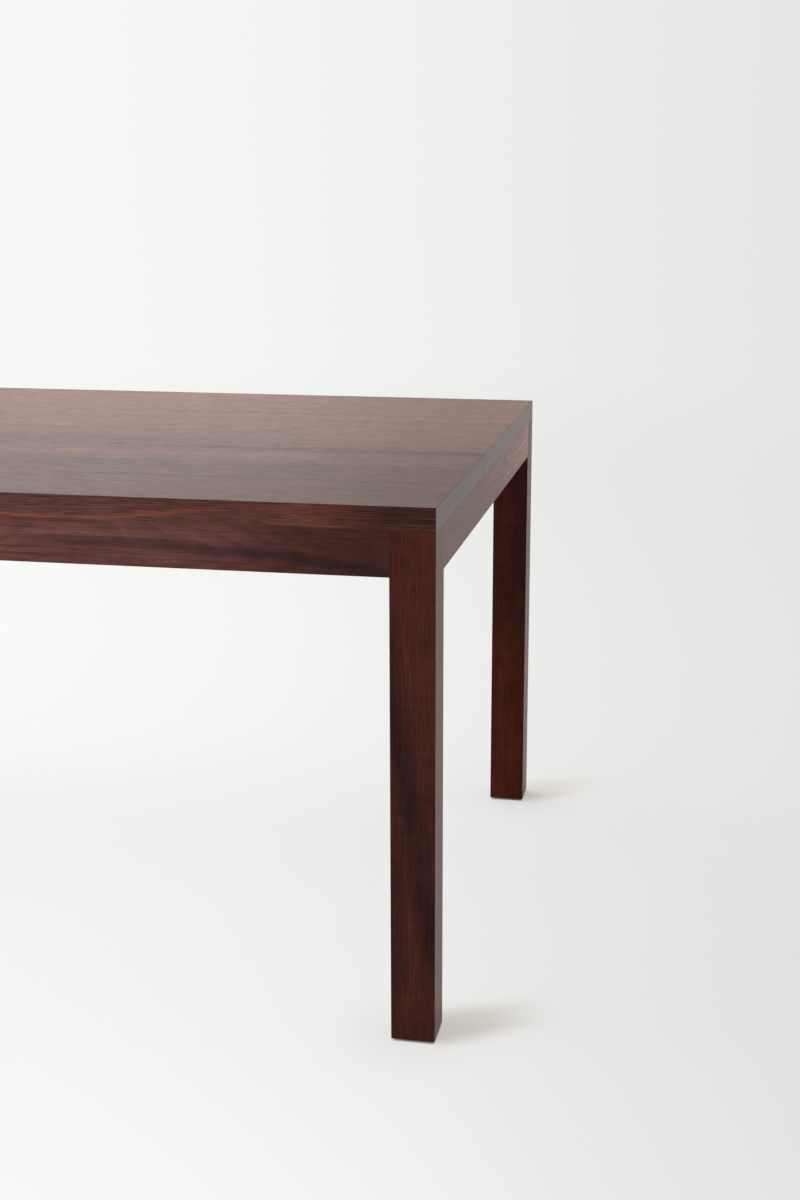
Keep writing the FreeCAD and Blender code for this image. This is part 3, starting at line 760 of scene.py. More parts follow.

# The streaks of each board, from the front one to the rear one; the broad bands that darken the right ends of
# the first three boards, and the dark right end of the first one's front edge, are painted shade.
BOARD_STREAKS: tuple[tuple[Streak, ...], ...] = (
    (
        Streak(
            Side.DEPTH,
            offset=0.0691,
            width=0.006,
            tint=(2.0, 1.6, 1.25),
            strength=0.95,
            start=0.20,
            end=0.84,
            slope=-0.3217,
            curve=0.3066,
            edge_only=True,
        ),
        Streak(Side.WIDTH, 0.067, width=0.010, tint=DUSK, strength=0.60, start=0.20, end=0.75),
        # Painted shade: the next two broad bands darken the right end of the board.
        Streak(Side.WIDTH, -0.020, width=0.150, tint=(0.74, 0.57, 0.51), strength=0.80, start=0.60, end=1.50),
        Streak(Side.WIDTH, 0.040, width=0.100, tint=(0.76, 0.70, 0.66), strength=0.85, start=0.72, end=1.50),
        Streak(Side.WIDTH, -0.0726, 0.100, (1.50, 1.35, 1.15), 0.90, start=0.76, end=1.04, edge_only=True),
        # Painted shade: the front edge darkened towards its right end.
        Streak(Side.WIDTH, -0.0726, 0.100, (0.34, 0.16, 0.08), 1.00, start=0.87, end=1.50, edge_only=True),
    ),
    (
        Streak(Side.WIDTH, -0.054, width=0.014, tint=DUSK, strength=1.00, start=0.40, end=1.50),
        Streak(Side.WIDTH, 0.020, width=0.030, tint=DUSK, strength=0.35, start=-0.90, end=0.70, slope=0.010),
        # Painted shade: a broad band that darkens the right end of the board.
        Streak(Side.WIDTH, 0.000, width=0.200, tint=(0.62, 0.57, 0.55), strength=0.85, start=0.66, end=1.50),
    ),
    (
        Streak(Side.WIDTH, 0.047, width=0.034, tint=DUSK, strength=0.95, start=0.46, end=1.50),
        Streak(Side.WIDTH, 0.052, width=0.028, tint=DUSK, strength=0.50, start=-0.60, end=0.62, slope=0.004),
        Streak(Side.WIDTH, -0.012, width=0.036, tint=GLOW, strength=0.60, start=-0.20, end=0.85),
        # Painted shade: a broad band that darkens the right end of the board.
        Streak(Side.WIDTH, 0.000, width=0.200, tint=(0.70, 0.66, 0.64), strength=0.85, start=0.72, end=1.50),
    ),
    (Streak(Side.WIDTH, -0.042, width=0.036, tint=DUSK, strength=0.40, start=0.10, end=0.75, slope=0.006),),
    (Streak(Side.WIDTH, 0.010, 0.050, (1.25, 1.05, 0.98), 0.60, start=-0.70, end=0.90, slope=-0.008),),
    (
        Streak(Side.WIDTH, -0.048, width=0.042, tint=(1.35, 1.15, 1.08), strength=0.6, start=-0.60, end=1.20),
        Streak(Side.WIDTH, -0.020, width=0.018, tint=DUSK, strength=0.40, start=0.35, end=0.85),
    ),
    (),
)

# The streaks of each leg, in the order of CORNERS. The front right leg's last band makes it lighter towards
# its top; the rear right leg's bands make it redder and lighter towards its foot.
LEG_STREAKS: tuple[tuple[Streak, ...], ...] = (
    (),
    (
        Streak(Side.DEPTH, 0.0075, width=0.029, tint=HEART, strength=0.92, start=-0.34, end=0.2, slope=0.157),
        Streak(Side.DEPTH, 0.024, width=0.014, tint=HEART, strength=0.25, start=-0.02, end=0.34, slope=0.020),
        Streak(Side.DEPTH, 0.027, width=0.024, tint=(0.48, 0.56, 0.78), strength=0.90, start=0.02, end=0.32),
        Streak(Side.DEPTH, 0.027, width=0.026, tint=(0.48, 0.56, 0.80), strength=0.90, start=-0.40, end=0.00),
        Streak(Side.DEPTH, -0.002, width=0.060, tint=(1.30, 1.24, 1.12), strength=0.90, start=0.10, end=0.90),
    ),
    (),
    (
        Streak(Side.DEPTH, 0.0, width=0.090, tint=(1.60, 1.45, 1.15), strength=0.9, start=-0.60, end=0.02),
        Streak(Side.DEPTH, 0.0, width=0.090, tint=(1.05, 0.80, 0.70), strength=0.9, start=-0.60, end=0.60),
    ),
)


@dataclass
class Planks:
    """The woodworker's bench: dresses sawn pieces of one timber."""

    timber: Timber
    effects: Effects

    def dress(self, name: str, grain: Grain, sawing: Sawing, streaks: tuple[Streak, ...] = ()) -> None:
        """Gives a wooden node its own material.

        Args:
            name: The node's name.
            grain: The way its grain runs.
            sawing: How it lay in its log.
            streaks: The streaks that stand out on it: heartwood, and on some pieces painted light and shade.
        """
        low, high = (Vector(corner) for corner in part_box(name))
        turn = Euler(grain.value).to_matrix()
        half = Vector(abs(part) for part in turn @ ((high - low) / 2))
        shift = -(turn @ ((high + low) / 2))
        material = bpy.data.materials.new(f"{self.timber.name}_{name}")
        material.use_nodes = True
        bench = Bench(material.node_tree)
        shader = material.node_tree.nodes["Principled BSDF"]
        shader.inputs["Specular IOR Level"].default_value = self.timber.shine
        shader.inputs["Sheen Weight"].default_value = self.timber.sheen
        shader.inputs["Sheen Roughness"].default_value = SHEEN_SPREAD
        shader.inputs["Sheen Tint"].default_value = opaque(self.timber.sheen_tint)
        source = bench.node("ShaderNodeTexCoord")
        place = self._turned(bench, source.outputs["Object"], "POINT", grain, shift)
        facing = self._turned(bench, source.outputs["Normal"], "VECTOR", grain, Vector())
        ways = bench.split(facing)[:2]
        end, edge = (bench.fade(bench.maths("ABSOLUTE", way), *FACE_STEP) for way in ways)
        seed = tuple(sawing.seed * spread for spread in SEED_SPREAD)
        wood = self._wood(bench, place, end, half if grain.square else None, seed, sawing)
        colour = wood.outputs["Color"]
        if self.timber.edge_tint != WHITE:
            tint = opaque(scaled(self.timber.edge_tint, 1 / sawing.tone))
            colour = bench.mix(edge, colour, tint, "MULTIPLY")
        for streak in streaks:
            mask = self._streak(bench, place, seed, streak)
            if streak.edge_only:
                mask = bench.maths("MULTIPLY", mask, edge)
            colour = bench.mix(mask, colour, opaque(streak.tint), "MULTIPLY")
        relief = bench.node("ShaderNodeBump")
        bench.feed(relief.inputs["Strength"], bench.fade(end, *END_RELIEF))
        relief.inputs["Distance"].default_value = WOOD_RELIEF
        bench.feed(relief.inputs["Height"], wood.outputs["Height"])
        bench.feed(shader.inputs["Base Color"], colour)
        bench.feed(shader.inputs["Roughness"], wood.outputs["Roughness"])
        bench.feed(shader.inputs["Normal"], relief.outputs["Normal"])
        wear(name, material)

    def _wood(
        self,
        bench: Bench,
        place: bpy.types.NodeSocket,
        end: bpy.types.NodeSocket,
        half: Vector | None,
        seed: Triple,
        sawing: Sawing,
    ) -> bpy.types.Node:
        """Places the figure and the colours that it has in this timber.

        Args:
            bench: The material's bench.
            place: The place on the plank.
            end: The mask of its end grain.
            half: Half its size, or None where it isn't a plain block.
            seed: Where its noise is looked up.
            sawing: How it lay in its log.

        Returns:
            The node that gives its colour, roughness and relief.
        """
        figure = bench.place(
            self.effects.figure,
            {
                "Vector": place,
                "Pith": (0.0, *sawing.pith),
                "Drift": (0.0, *sawing.drift),
                "Seed": seed,
                "Ring Width": sawing.ring,
                "Sway": sawing.sway,
            },
        )
        feeds: dict[str, Feed] = {
            "Dark": opaque(scaled(self.timber.dark, sawing.tone)),
            "Middle": opaque(scaled(self.timber.middle, sawing.tone)),
            "Light": opaque(scaled(self.timber.light, sawing.tone)),
            "End Grain": end,
            "Ring Depth": self.timber.ring_depth,
            "Fibre Depth": self.timber.fibre_depth,
            "Pore Depth": self.timber.pore_depth,
            "Curl Depth": self.timber.curl_depth,
            "Satin": self.timber.satin,
        }
        feeds.update({output.name: output for output in figure.outputs})
        if half is not None:
            feeds["Edge"] = bench.place(self.effects.edge, {"Vector": place, "Half": half}).outputs["Line"]
        return bench.place(self.effects.colour, feeds)

    def _turned(
        self, bench: Bench, socket: bpy.types.NodeSocket, kind: str, grain: Grain, shift: Vector
    ) -> bpy.types.NodeSocket:
        """Turns a place or direction of the table so that the plank's grain lies along X.

        Args:
            bench: The material's bench.
            socket: The place or direction.
            kind: POINT for a place, VECTOR for a direction.
            grain: The way the plank's grain runs.
            shift: The move that brings a place's plank to the middle.

        Returns:
            The socket of the turned vector.
        """
        node = bench.node("ShaderNodeMapping", vector_type=kind)
        bench.feed(node.inputs["Vector"], socket)
        node.inputs["Rotation"].default_value = grain.value
        if kind == "POINT":
            node.inputs["Location"].default_value = shift
        return node.outputs[0]

    def _streak(
        self, bench: Bench, place: bpy.types.NodeSocket, seed: Triple, streak: Streak
    ) -> bpy.types.NodeSocket:
        """Places one streak at its strength.

        Args:
            bench: The material's bench.
            place: The place on the plank.
            seed: Where its noise is looked up.
            streak: The streak's course and strength.

        Returns:
            The socket of its mask.
        """
        parts = bench.split(place)
        node = bench.place(
            self.effects.streak,
            {
                "Place": bench.vector("ADD", place, seed),
                "Along": parts[0],
                "Across": parts[streak.side.value],
                "Offset": streak.offset,
                "Slope": streak.slope,
                "Curve": streak.curve,
                "Width": streak.width,
                "Start": streak.start,
                "End": streak.end,
            },
        )
        return bench.maths("MULTIPLY", node.outputs["Mask"], streak.strength)


def make_hardware(finish: Hardware, effects: Effects) -> bpy.types.Material:
    """A metal or moulded material.

    Args:
        finish: Its colours and surface.
        effects: The shared node groups.

    Returns:
        The new material.
    """
    material = bpy.data.materials.new(finish.name)
    material.use_nodes = True
    bench = Bench(material.node_tree)
    shader = material.node_tree.nodes["Principled BSDF"]
    shader.inputs["Metallic"].default_value = finish.metallic
    place = bench.node("ShaderNodeTexCoord").outputs["Object"]
    feeds = {"Vector": place, "Cloud Scale": CLOUD_SCALE, "Speck Scale": finish.speck_scale}
    skin = bench.place(effects.skin, feeds)
    speck = skin.outputs["Speck"]
    colour = bench.mix(skin.outputs["Cloud"], opaque(finish.shade), opaque(finish.colour))
    smoothest = finish.roughness - SPECK_ROUGHNESS / 2
    rough = bench.maths("MULTIPLY_ADD", speck, SPECK_ROUGHNESS, smoothest)
    relief = bench.node("ShaderNodeBump")
    relief.inputs["Strength"].default_value = finish.relief
    relief.inputs["Distance"].default_value = HARDWARE_RELIEF
    bench.feed(relief.inputs["Height"], speck)
    bench.feed(shader.inputs["Base Color"], colour)
    bench.feed(shader.inputs["Roughness"], rough)
    bench.feed(shader.inputs["Normal"], relief.outputs["Normal"])
    return material


def wear(name: str, material: bpy.types.Material) -> None:
    """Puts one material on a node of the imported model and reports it.

    Args:
        name: The node's name.
        material: The material that it gets.
    """
    slots = bpy.data.objects[name].data.materials
    slots.clear()
    slots.append(material)
    LOG.info("%s wears %s", name, material.name)


def lathe(mesh: bmesh.types.BMesh, profile: list[Pair], segments: int) -> None:
    """Turns a profile of radius and height about Z into a closed shell.

    Args:
        mesh: The mesh that the shell is added to.
        profile: The points, from the axis at one end to the axis at the other.
        segments: Number of sides.
    """
    rings: list[list[bmesh.types.BMVert]] = []
    for radius, height in profile:
        if radius == 0.0:
            rings.append([mesh.verts.new((0.0, 0.0, height))])
            continue
        ring = []
        for step in range(segments):
            angle = math.tau * step / segments
            ring.append(mesh.verts.new((radius * math.cos(angle), radius * math.sin(angle), height)))
        rings.append(ring)
    for lower, upper in zip(rings, rings[1:]):
        for step in range(segments):
            after = (step + 1) % segments
            corners = [lower[step % len(lower)], lower[after % len(lower)]]
            corners += [upper[after % len(upper)], upper[step % len(upper)]]
            mesh.faces.new(list(dict.fromkeys(corners)))


def thread(
    mesh: bmesh.types.BMesh, root: float, crest: float, pitch: float, span: Pair, sides: int
) -> None:
    """Adds a right-handed screw thread about Z as a closed shell.

    Args:
        mesh: The mesh that the shell is added to.
        root: Radius at the bottom of the thread.
        crest: Radius at its top.
        pitch: Height of one turn.
        span: Heights at which the thread starts and ends.
        sides: Number of sides of a turn.
    """
    flank_shares = ((0.0, root), (0.14, root), (0.48, crest), (0.62, crest))
    low, high = span
    turns = math.ceil((high - low) / pitch) + 2
    columns: list[list[bmesh.types.BMVert]] = []
    for side in range(sides):
        share = side / sides
        column = []
        for turn in range(-1, turns):
            for flank, radius in flank_shares:
                height = low + (turn + flank + share) * pitch
                depth = root if height <= low or height >= high else radius
                angle = math.tau * share
                place = (depth * math.cos(angle), depth * math.sin(angle), min(max(height, low), high))
                column.append(mesh.verts.new(place))
        columns.append(column)
    rows = len(columns[0])
    for side in range(sides):
        lift = len(flank_shares) if side == sides - 1 else 0
        here, beside = columns[side], columns[(side + 1) % sides]
        for row in range(rows - 1):
            if row + 1 + lift < rows:
                mesh.faces.new((here[row], beside[row + lift], beside[row + 1 + lift], here[row + 1]))
    added = [vert for column in columns for vert in column]
    bmesh.ops.remove_doubles(mesh, verts=added, dist=MERGE_GAP)
    rims = [edge for edge in mesh.edges if edge.is_boundary]
    bmesh.ops.holes_fill(mesh, edges=rims, sides=0)


def bar(mesh: bmesh.types.BMesh, outline: list[Pair], span: Pair, taper: float) -> None:
    """Adds a closed bar with a given outline that narrows upwards.

    Args:
        mesh: The mesh that the bar is added to.
        outline: Its corners at the lower end, anticlockwise.
        span: Heights of its lower and upper ends.
        taper: Size of the upper end against the lower.
    """
    lower = [mesh.verts.new((x, y, span[0])) for x, y in outline]
    upper = [mesh.verts.new((x * taper, y * taper, span[1])) for x, y in outline]
    mesh.faces.new(lower[::-1])
    mesh.faces.new(upper)
    for step in range(len(outline)):
        after = (step + 1) % len(outline)
        mesh.faces.new((lower[step], lower[after], upper[after], upper[step]))


def finished(mesh: bmesh.types.BMesh, name: str) -> bpy.types.Object:
    """Turns a mesh under work into an object with sound normals.

    Args:
        mesh: The mesh, which is freed.
        name: The object's name.

    Returns:
        The new object, linked to the scene.
    """
    bmesh.ops.dissolve_degenerate(mesh, edges=mesh.edges[:], dist=MERGE_GAP)
    bmesh.ops.recalc_face_normals(mesh, faces=mesh.faces[:])
    data = bpy.data.meshes.new(name)
    mesh.to_mesh(data)
    mesh.free()
    piece = bpy.data.objects.new(name, data)
    bpy.context.scene.collection.objects.link(piece)
    return piece


def carved(body: bpy.types.Object, cutter: bpy.types.Object) -> bpy.types.Mesh:
    """The mesh of one object with another cut out of it; both objects are used up.

    Args:
        body: The object that is cut.
        cutter: The shape of the cut.

    Returns:
        The cut mesh.
    """
    cut = body.modifiers.new("Recess", "BOOLEAN")
    cut.operation = "DIFFERENCE"
    cut.solver = "EXACT"
    cut.object = cutter
    bpy.context.view_layer.update()
    data = bpy.data.meshes.new_from_object(body.evaluated_get(bpy.context.evaluated_depsgraph_get()))
    for used in (body, cutter):
        old = used.data
        bpy.data.objects.remove(used)
        bpy.data.meshes.remove(old)
    return data


@dataclass
class TableTop:
    """The seven edge-glued boards of the top, from the front one to the rear one."""

    effects: Effects
    boards: tuple[Sawing, ...] = (
        # The tones rise from the front board to the rear one: partly the boards' own tones, partly painted
        # light that makes the top lighter towards its rear.
        Sawing(pith=(0.030, -0.105), drift=(0.004, 0.012), ring=0.0030, sway=0.022, seed=1.3, tone=0.76),
        Sawing(pith=(-0.150, -0.060), drift=(0.010, 0.000), ring=0.0028, sway=0.020, seed=2.9, tone=0.82),
        Sawing(pith=(0.020, -0.085), drift=(-0.010, 0.014), ring=0.0034, sway=0.024, seed=4.1, tone=1.06),
        Sawing(pith=(0.170, 0.050), drift=(0.006, 0.000), ring=0.0029, sway=0.020, seed=5.7, tone=1.12),
        Sawing(pith=(-0.040, -0.120), drift=(0.012, -0.010), ring=0.0033, sway=0.022, seed=7.3, tone=1.18),
        Sawing(pith=(-0.180, 0.040), drift=(0.000, 0.004), ring=0.0029, sway=0.018, seed=8.8, tone=1.28),
        Sawing(pith=(0.050, -0.095), drift=(-0.006, 0.010), ring=0.0031, sway=0.022, seed=9.9, tone=1.42),
    )
    streaks: tuple[tuple[Streak, ...], ...] = BOARD_STREAKS

    def dress(self) -> None:
        """Gives each board its own figure."""
        bench = Planks(TOP_WALNUT, self.effects)
        for number, (sawing, streaks) in enumerate(zip(self.boards, self.streaks), start=1):
            bench.dress(f"top_board_{number}", Grain.ALONG, sawing, streaks)


@dataclass
class ApronFrame:
    """The four aprons under the top."""

    effects: Effects
    front: Sawing = Sawing(pith=(0.050, -0.010), drift=(0.060, 0.010), ring=0.0040, sway=0.050, seed=11.2)
    rear: Sawing = Sawing(
        pith=(-0.060, 0.006), drift=(-0.024, 0.004), ring=0.0036, sway=0.026, seed=13.9, tone=1.15
    )
    left: Sawing = Sawing(
        pith=(0.070, -0.010), drift=(-0.022, 0.006), ring=0.0034, sway=0.024, seed=14.4, tone=1.10
    )
    right: Sawing = Sawing(pith=(-0.075, 0.012), drift=(0.020, 0.010), ring=0.0034, sway=0.022, seed=12.6)
    front_streaks_and_sheen: tuple[Streak, ...] = (
        Streak(Side.DEPTH, -0.0272, 0.013, SHADOW, 0.95, start=0.45, end=1.20, slope=0.1144, curve=-0.110),
        # Painted sheen: these two bands lighten the front apron over all but its right end, which so stays
        # darker and redder next to the front right leg.
        Streak(Side.DEPTH, 0.0, width=0.080, tint=(2.20, 2.50, 2.60), strength=0.95, start=-1.40, end=0.88),
        Streak(Side.DEPTH, 0.0, width=0.080, tint=(1.35, 1.65, 1.90), strength=0.95, start=-1.40, end=0.98),
    )
    # Painted sheen: these bands make the right apron paler towards its rear.
    right_painted_sheen: tuple[Streak, ...] = tuple(
        Streak(Side.DEPTH, 0.0, width=0.090, tint=END_PAINTED_SHEEN, strength=1.0, start=start)
        for start in (-0.15, 0.08, 0.22)
    )

    def dress(self) -> None:
        """Gives each apron its own figure."""
        bench = Planks(APRON_WALNUT, self.effects)
        bench.dress("front_apron", Grain.ALONG, self.front, self.front_streaks_and_sheen)
        bench.dress("rear_apron", Grain.ALONG, self.rear)
        bench.dress("left_apron", Grain.ACROSS, self.left)
        # The right apron wears the paler copy of the walnut, whose lighter tones are painted sheen.
        Planks(LIT_APRON_WALNUT, self.effects).dress("right_apron", Grain.ACROSS, self.right, self.right_painted_sheen)


@dataclass
class LegSet:
    """The four square legs, in the order of CORNERS."""

    effects: Effects
    seeds: tuple[float, ...] = (15.1, 16.8, 17.5, 18.2)
    tones: tuple[float, ...] = (1.0, 1.0, 1.0, 0.85)
    pith: Pair = (0.070, -0.055)
    drift: Pair = (0.012, 0.010)
    ring: float = 0.0025
    sway: float = 0.026
    streaks: tuple[tuple[Streak, ...], ...] = LEG_STREAKS

    def dress(self) -> None:
        """Gives each leg its own figure."""
        bench = Planks(LEG_WALNUT, self.effects)
        rows = zip(CORNERS.items(), self.seeds, self.tones, self.streaks)
        for (corner, (along, across)), seed, tone, streaks in rows:
            pith = (-across * self.pith[0], -along * self.pith[1])
            drift = (self.drift[0] * across, self.drift[1] * along)
            sawing = Sawing(pith, drift, self.ring, self.sway, seed, tone)
            bench.dress(f"{corner}_leg", Grain.UPRIGHT, sawing, streaks)


@dataclass
class Bracing:
    """Bearers, corner blocks and table buttons under the top."""

    effects: Effects
    long_buttons: int = 4
    end_buttons: int = 2
    bearer: Sawing = Sawing(pith=(0.050, -0.040), drift=(0.010, 0.012), ring=0.0054, sway=0.016, seed=21.0)
    block: Sawing = Sawing(pith=(0.060, 0.030), drift=(0.020, 0.010), ring=0.0050, sway=0.016, seed=27.0)
    button: Sawing = Sawing(pith=(0.040, 0.060), drift=(0.030, -0.020), ring=0.0034, sway=0.012, seed=33.0)
    bearer_seed_step: float = 1.7
    block_seed_step: float = 1.3
    button_seed_step: float = 0.9

    def dress(self) -> None:
        """Gives each brace and button its own figure."""
        bearers = [(f"{side}_bearer", Grain.ACROSS) for side in ("left", "middle", "right")]
        blocks = [
            (f"{corner}_corner_block", Grain.SLANT_RIGHT if along * across < 0 else Grain.SLANT_LEFT)
            for corner, (along, across) in CORNERS.items()
        ]
        buttons: list[tuple[str, Grain]] = []
        for sides, count, grain in (
            (("front", "rear"), self.long_buttons, Grain.ACROSS),
            (("left", "right"), self.end_buttons, Grain.ALONG),
        ):
            buttons += [(f"{side}_button_{number + 1}", grain) for side in sides for number in range(count)]
        for timber, pieces, sawing, seed_step in (
            (BRACE_WALNUT, bearers, self.bearer, self.bearer_seed_step),
            (BRACE_WALNUT, blocks, self.block, self.block_seed_step),
            (BUTTON_MAPLE, buttons, self.button, self.button_seed_step),
        ):
            bench = Planks(timber, self.effects)
            for index, (name, grain) in enumerate(pieces):
                bench.dress(name, grain, replace(sawing, seed=sawing.seed + seed_step * index))


@dataclass
class WoodScrews:
    """The wood screws under the top, each group one piece.

    The heads lie at bearer_head and button_head under the top's underside; those of the corner
    blocks stand block_axis and block_head in from the two outer faces of a corner.
    """

    material: bpy.types.Material
    head_radius: float = 0.0045
    head_height: float = 0.003
    shank_radius: float = 0.00225
    core_radius: float = 0.0015
    point_length: float = 0.006
    plain_length: float = 0.006
    neck_length: float = 0.001
    pitch: float = 0.0018
    thread_lead: float = 0.0006
    thread_root_share: float = 0.9
    bare_point_share: float = 0.45
    recess_arm: float = 0.0021
    recess_width: float = 0.00115
    recess_depth: float = 0.0019
    recess_taper: float = 0.55
    overcut: float = 0.0004
    segments: int = 28
    thread_sides: int = 16
    boards: int = 7
    bays: int = 4
    leg_width: float = 0.062
    apron_thickness: float = 0.032
    apron_grip: float = 0.020
    block_axis: float = 0.112
    block_head: float = 0.052
    bearer_head: float = 0.024
    button_head: float = 0.019
    button_axis: float = 0.025

    def build(self) -> None:
        """Builds the three groups in place of their plain nodes."""
        _, high = (Vector(corner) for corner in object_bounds())
        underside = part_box("top_board_1")[0][2]
        half_length, half_width = high.x, high.y
        spacing = (2 * half_length - 2 * self.leg_width) / self.bays
        board = 2 * half_width / self.boards
        across = half_width - self.apron_thickness - self.button_axis
        along = half_length - self.apron_thickness - self.button_axis
        bearer = [
            Matrix.Translation((step * spacing, row * 2 * board, underside - self.bearer_head))
            for step in (-1, 0, 1)
            for row in (-1, 0, 1)
        ]
        steps = (-1.5, -0.5, 0.5, 1.5)
        button_places = [(step * spacing, side * across) for side in (-1, 1) for step in steps]
        button_places += [(side * along, row * board) for side in (-1, 1) for row in (-1, 1)]
        button = [Matrix.Translation((x, y, underside - self.button_head)) for x, y in button_places]
        level = (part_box("front_left_corner_block")[0][2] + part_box("front_left_corner_block")[1][2]) / 2
        block = []
        for x, y in CORNERS.values():
            for inset, towards in (
                ((self.block_axis, self.block_head), Vector((0, y, 0))),
                ((self.block_head, self.block_axis), Vector((x, 0, 0))),
            ):
                place = Matrix.Translation((x * (half_length - inset[0]), y * (half_width - inset[1]), level))
                block.append(place @ Vector((0, 0, 1)).rotation_difference(towards).to_matrix().to_4x4())
        self._group("bearer_screws", bearer)
        self._group("button_screws", button)
        self._group("corner_block_screws", block)

    def _group(self, name: str, places: list[Matrix]) -> None:
        """Builds one group of equal screws in place of its node.

        Args:
            name: The node's name.
            places: Where each screw's head sits and how it points.
        """
        low, high = (Vector(corner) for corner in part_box(name))
        if name == "corner_block_screws":
            length = self.block_head - self.apron_thickness + self.apron_grip
        else:
            length = high.z - low.z - self.head_height
        pattern = self._screw(length)
        mesh = bmesh.new()
        for place in places:
            copy = pattern.copy()
            copy.transform(place)
            mesh.from_mesh(copy)
            bpy.data.meshes.remove(copy)
        bpy.data.meshes.remove(pattern)
        piece = finished(mesh, f"{name}_cross_head")
        piece.data.materials.append(self.material)
        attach(piece, "table")
        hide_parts(name)
        LOG.info("%s: %d screws", piece.name, len(places))

    def _screw(self, length: float) -> bpy.types.Mesh:
        """Makes one screw with its head's underside at zero and its point upwards.

        Args:
            length: From the head's underside to the point.

        Returns:
            The screw's mesh.
        """
        head, height = self.head_radius, self.head_height
        crown_shares = ((0.62, 1.0), (0.82, 0.90), (0.94, 0.66), (1.0, 0.30), (1.0, 0.08), (0.97, 0.0))
        profile = [(0.0, -height)]
        profile += [(head * across, -height * down) for across, down in crown_shares]
        profile += [(self.shank_radius, 0.0), (self.shank_radius, self.plain_length)]
        profile.append((self.core_radius, self.plain_length + self.neck_length))
        profile.append((self.core_radius, length - self.point_length))
        profile.append((0.0, length))
        mesh = bmesh.new()
        lathe(mesh, profile, self.segments)
        body = finished(mesh, "screw_body")
        arm, half = self.recess_arm, self.recess_width / 2
        quarter = [(arm, -half), (arm, half), (half, half)]
        cross = []
        for step in range(4):
            turn = Matrix.Rotation(step * math.pi / 2, 2)
            cross += [tuple(turn @ Vector(point)) for point in quarter]
        mesh = bmesh.new()
        bar(mesh, cross, (-height - self.overcut, -height + self.recess_depth), self.recess_taper)
        data = carved(body, finished(mesh, "cross_recess"))
        mesh = bmesh.new()
        mesh.from_mesh(data)
        span = (self.plain_length + self.thread_lead, length - self.point_length * self.bare_point_share)
        root = self.core_radius * self.thread_root_share
        thread(mesh, root, self.shank_radius, self.pitch, span, self.thread_sides)
        mesh.to_mesh(data)
        mesh.free()
        return data


@dataclass
class LevellingFeet:
    """The glide, insert and levelling screw in each foot."""

    steel: bpy.types.Material
    brass: bpy.types.Material
    nylon: bpy.types.Material
    collar_radius: float = 0.008
    collar_thickness: float = 0.0025
    collar_bevel: float = 0.0004
    thread_radius: float = 0.004
    core_radius: float = 0.0033
    pitch: float = 0.00125
    thread_lead: float = 0.0002
    end_bevel: float = 0.0009
    key_width: float = 0.005
    key_depth: float = 0.0035
    key_sides: int = 6
    overcut: float = 0.0005
    segments: int = 48
    thread_sides: int = 32

    def build(self) -> None:
        """Dresses the glides and inserts, and builds the threaded screws."""
        for corner in CORNERS:
            wear(f"{corner}_glide", self.nylon)
            wear(f"{corner}_threaded_insert", self.brass)
            self._screw(corner)

    def _screw(self, corner: str) -> None:
        """Builds one levelling screw with its thread and hex socket.

        Args:
            corner: The name of the table's corner.
        """
        node = f"{corner}_levelling_screw"
        low, high = (Vector(point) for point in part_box(node))
        length = high.z - low.z
        radius, bevel = self.collar_radius, self.collar_bevel
        profile = [
            (0.0, 0.0),
            (radius - bevel, 0.0),
            (radius, bevel),
            (radius, self.collar_thickness - bevel),
            (radius - bevel, self.collar_thickness),
            (self.core_radius, self.collar_thickness),
            (self.core_radius, length - self.end_bevel),
            (self.core_radius - self.end_bevel, length),
            (0.0, length),
        ]
        mesh = bmesh.new()
        lathe(mesh, profile, self.segments)
        body = finished(mesh, "levelling_body")
        key_radius = self.key_width / math.sqrt(3)
        angles = [math.tau * step / self.key_sides for step in range(self.key_sides)]
        outline = [(key_radius * math.cos(angle), key_radius * math.sin(angle)) for angle in angles]
        mesh = bmesh.new()
        bar(mesh, outline, (-self.overcut, self.key_depth), 1.0)
        data = carved(body, finished(mesh, "hex_socket"))
        mesh = bmesh.new()
        mesh.from_mesh(data)
        bpy.data.meshes.remove(data)
        span = (self.collar_thickness + self.thread_lead, length - self.end_bevel)
        thread(mesh, self.core_radius, self.thread_radius, self.pitch, span, self.thread_sides)
        mesh.transform(Matrix.Translation(((low.x + high.x) / 2, (low.y + high.y) / 2, low.z)))
        piece = finished(mesh, f"{node}_threaded")
        piece.data.materials.append(self.steel)
        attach(piece, node)
        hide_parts(node)
        LOG.info("%s in place of its plain node", piece.name)


@dataclass(frozen=True)
class Lamp:
    """A large soft lamp that faces a target."""

    name: str
    place: Triple
    target: Triple
    size: Pair
    power: float


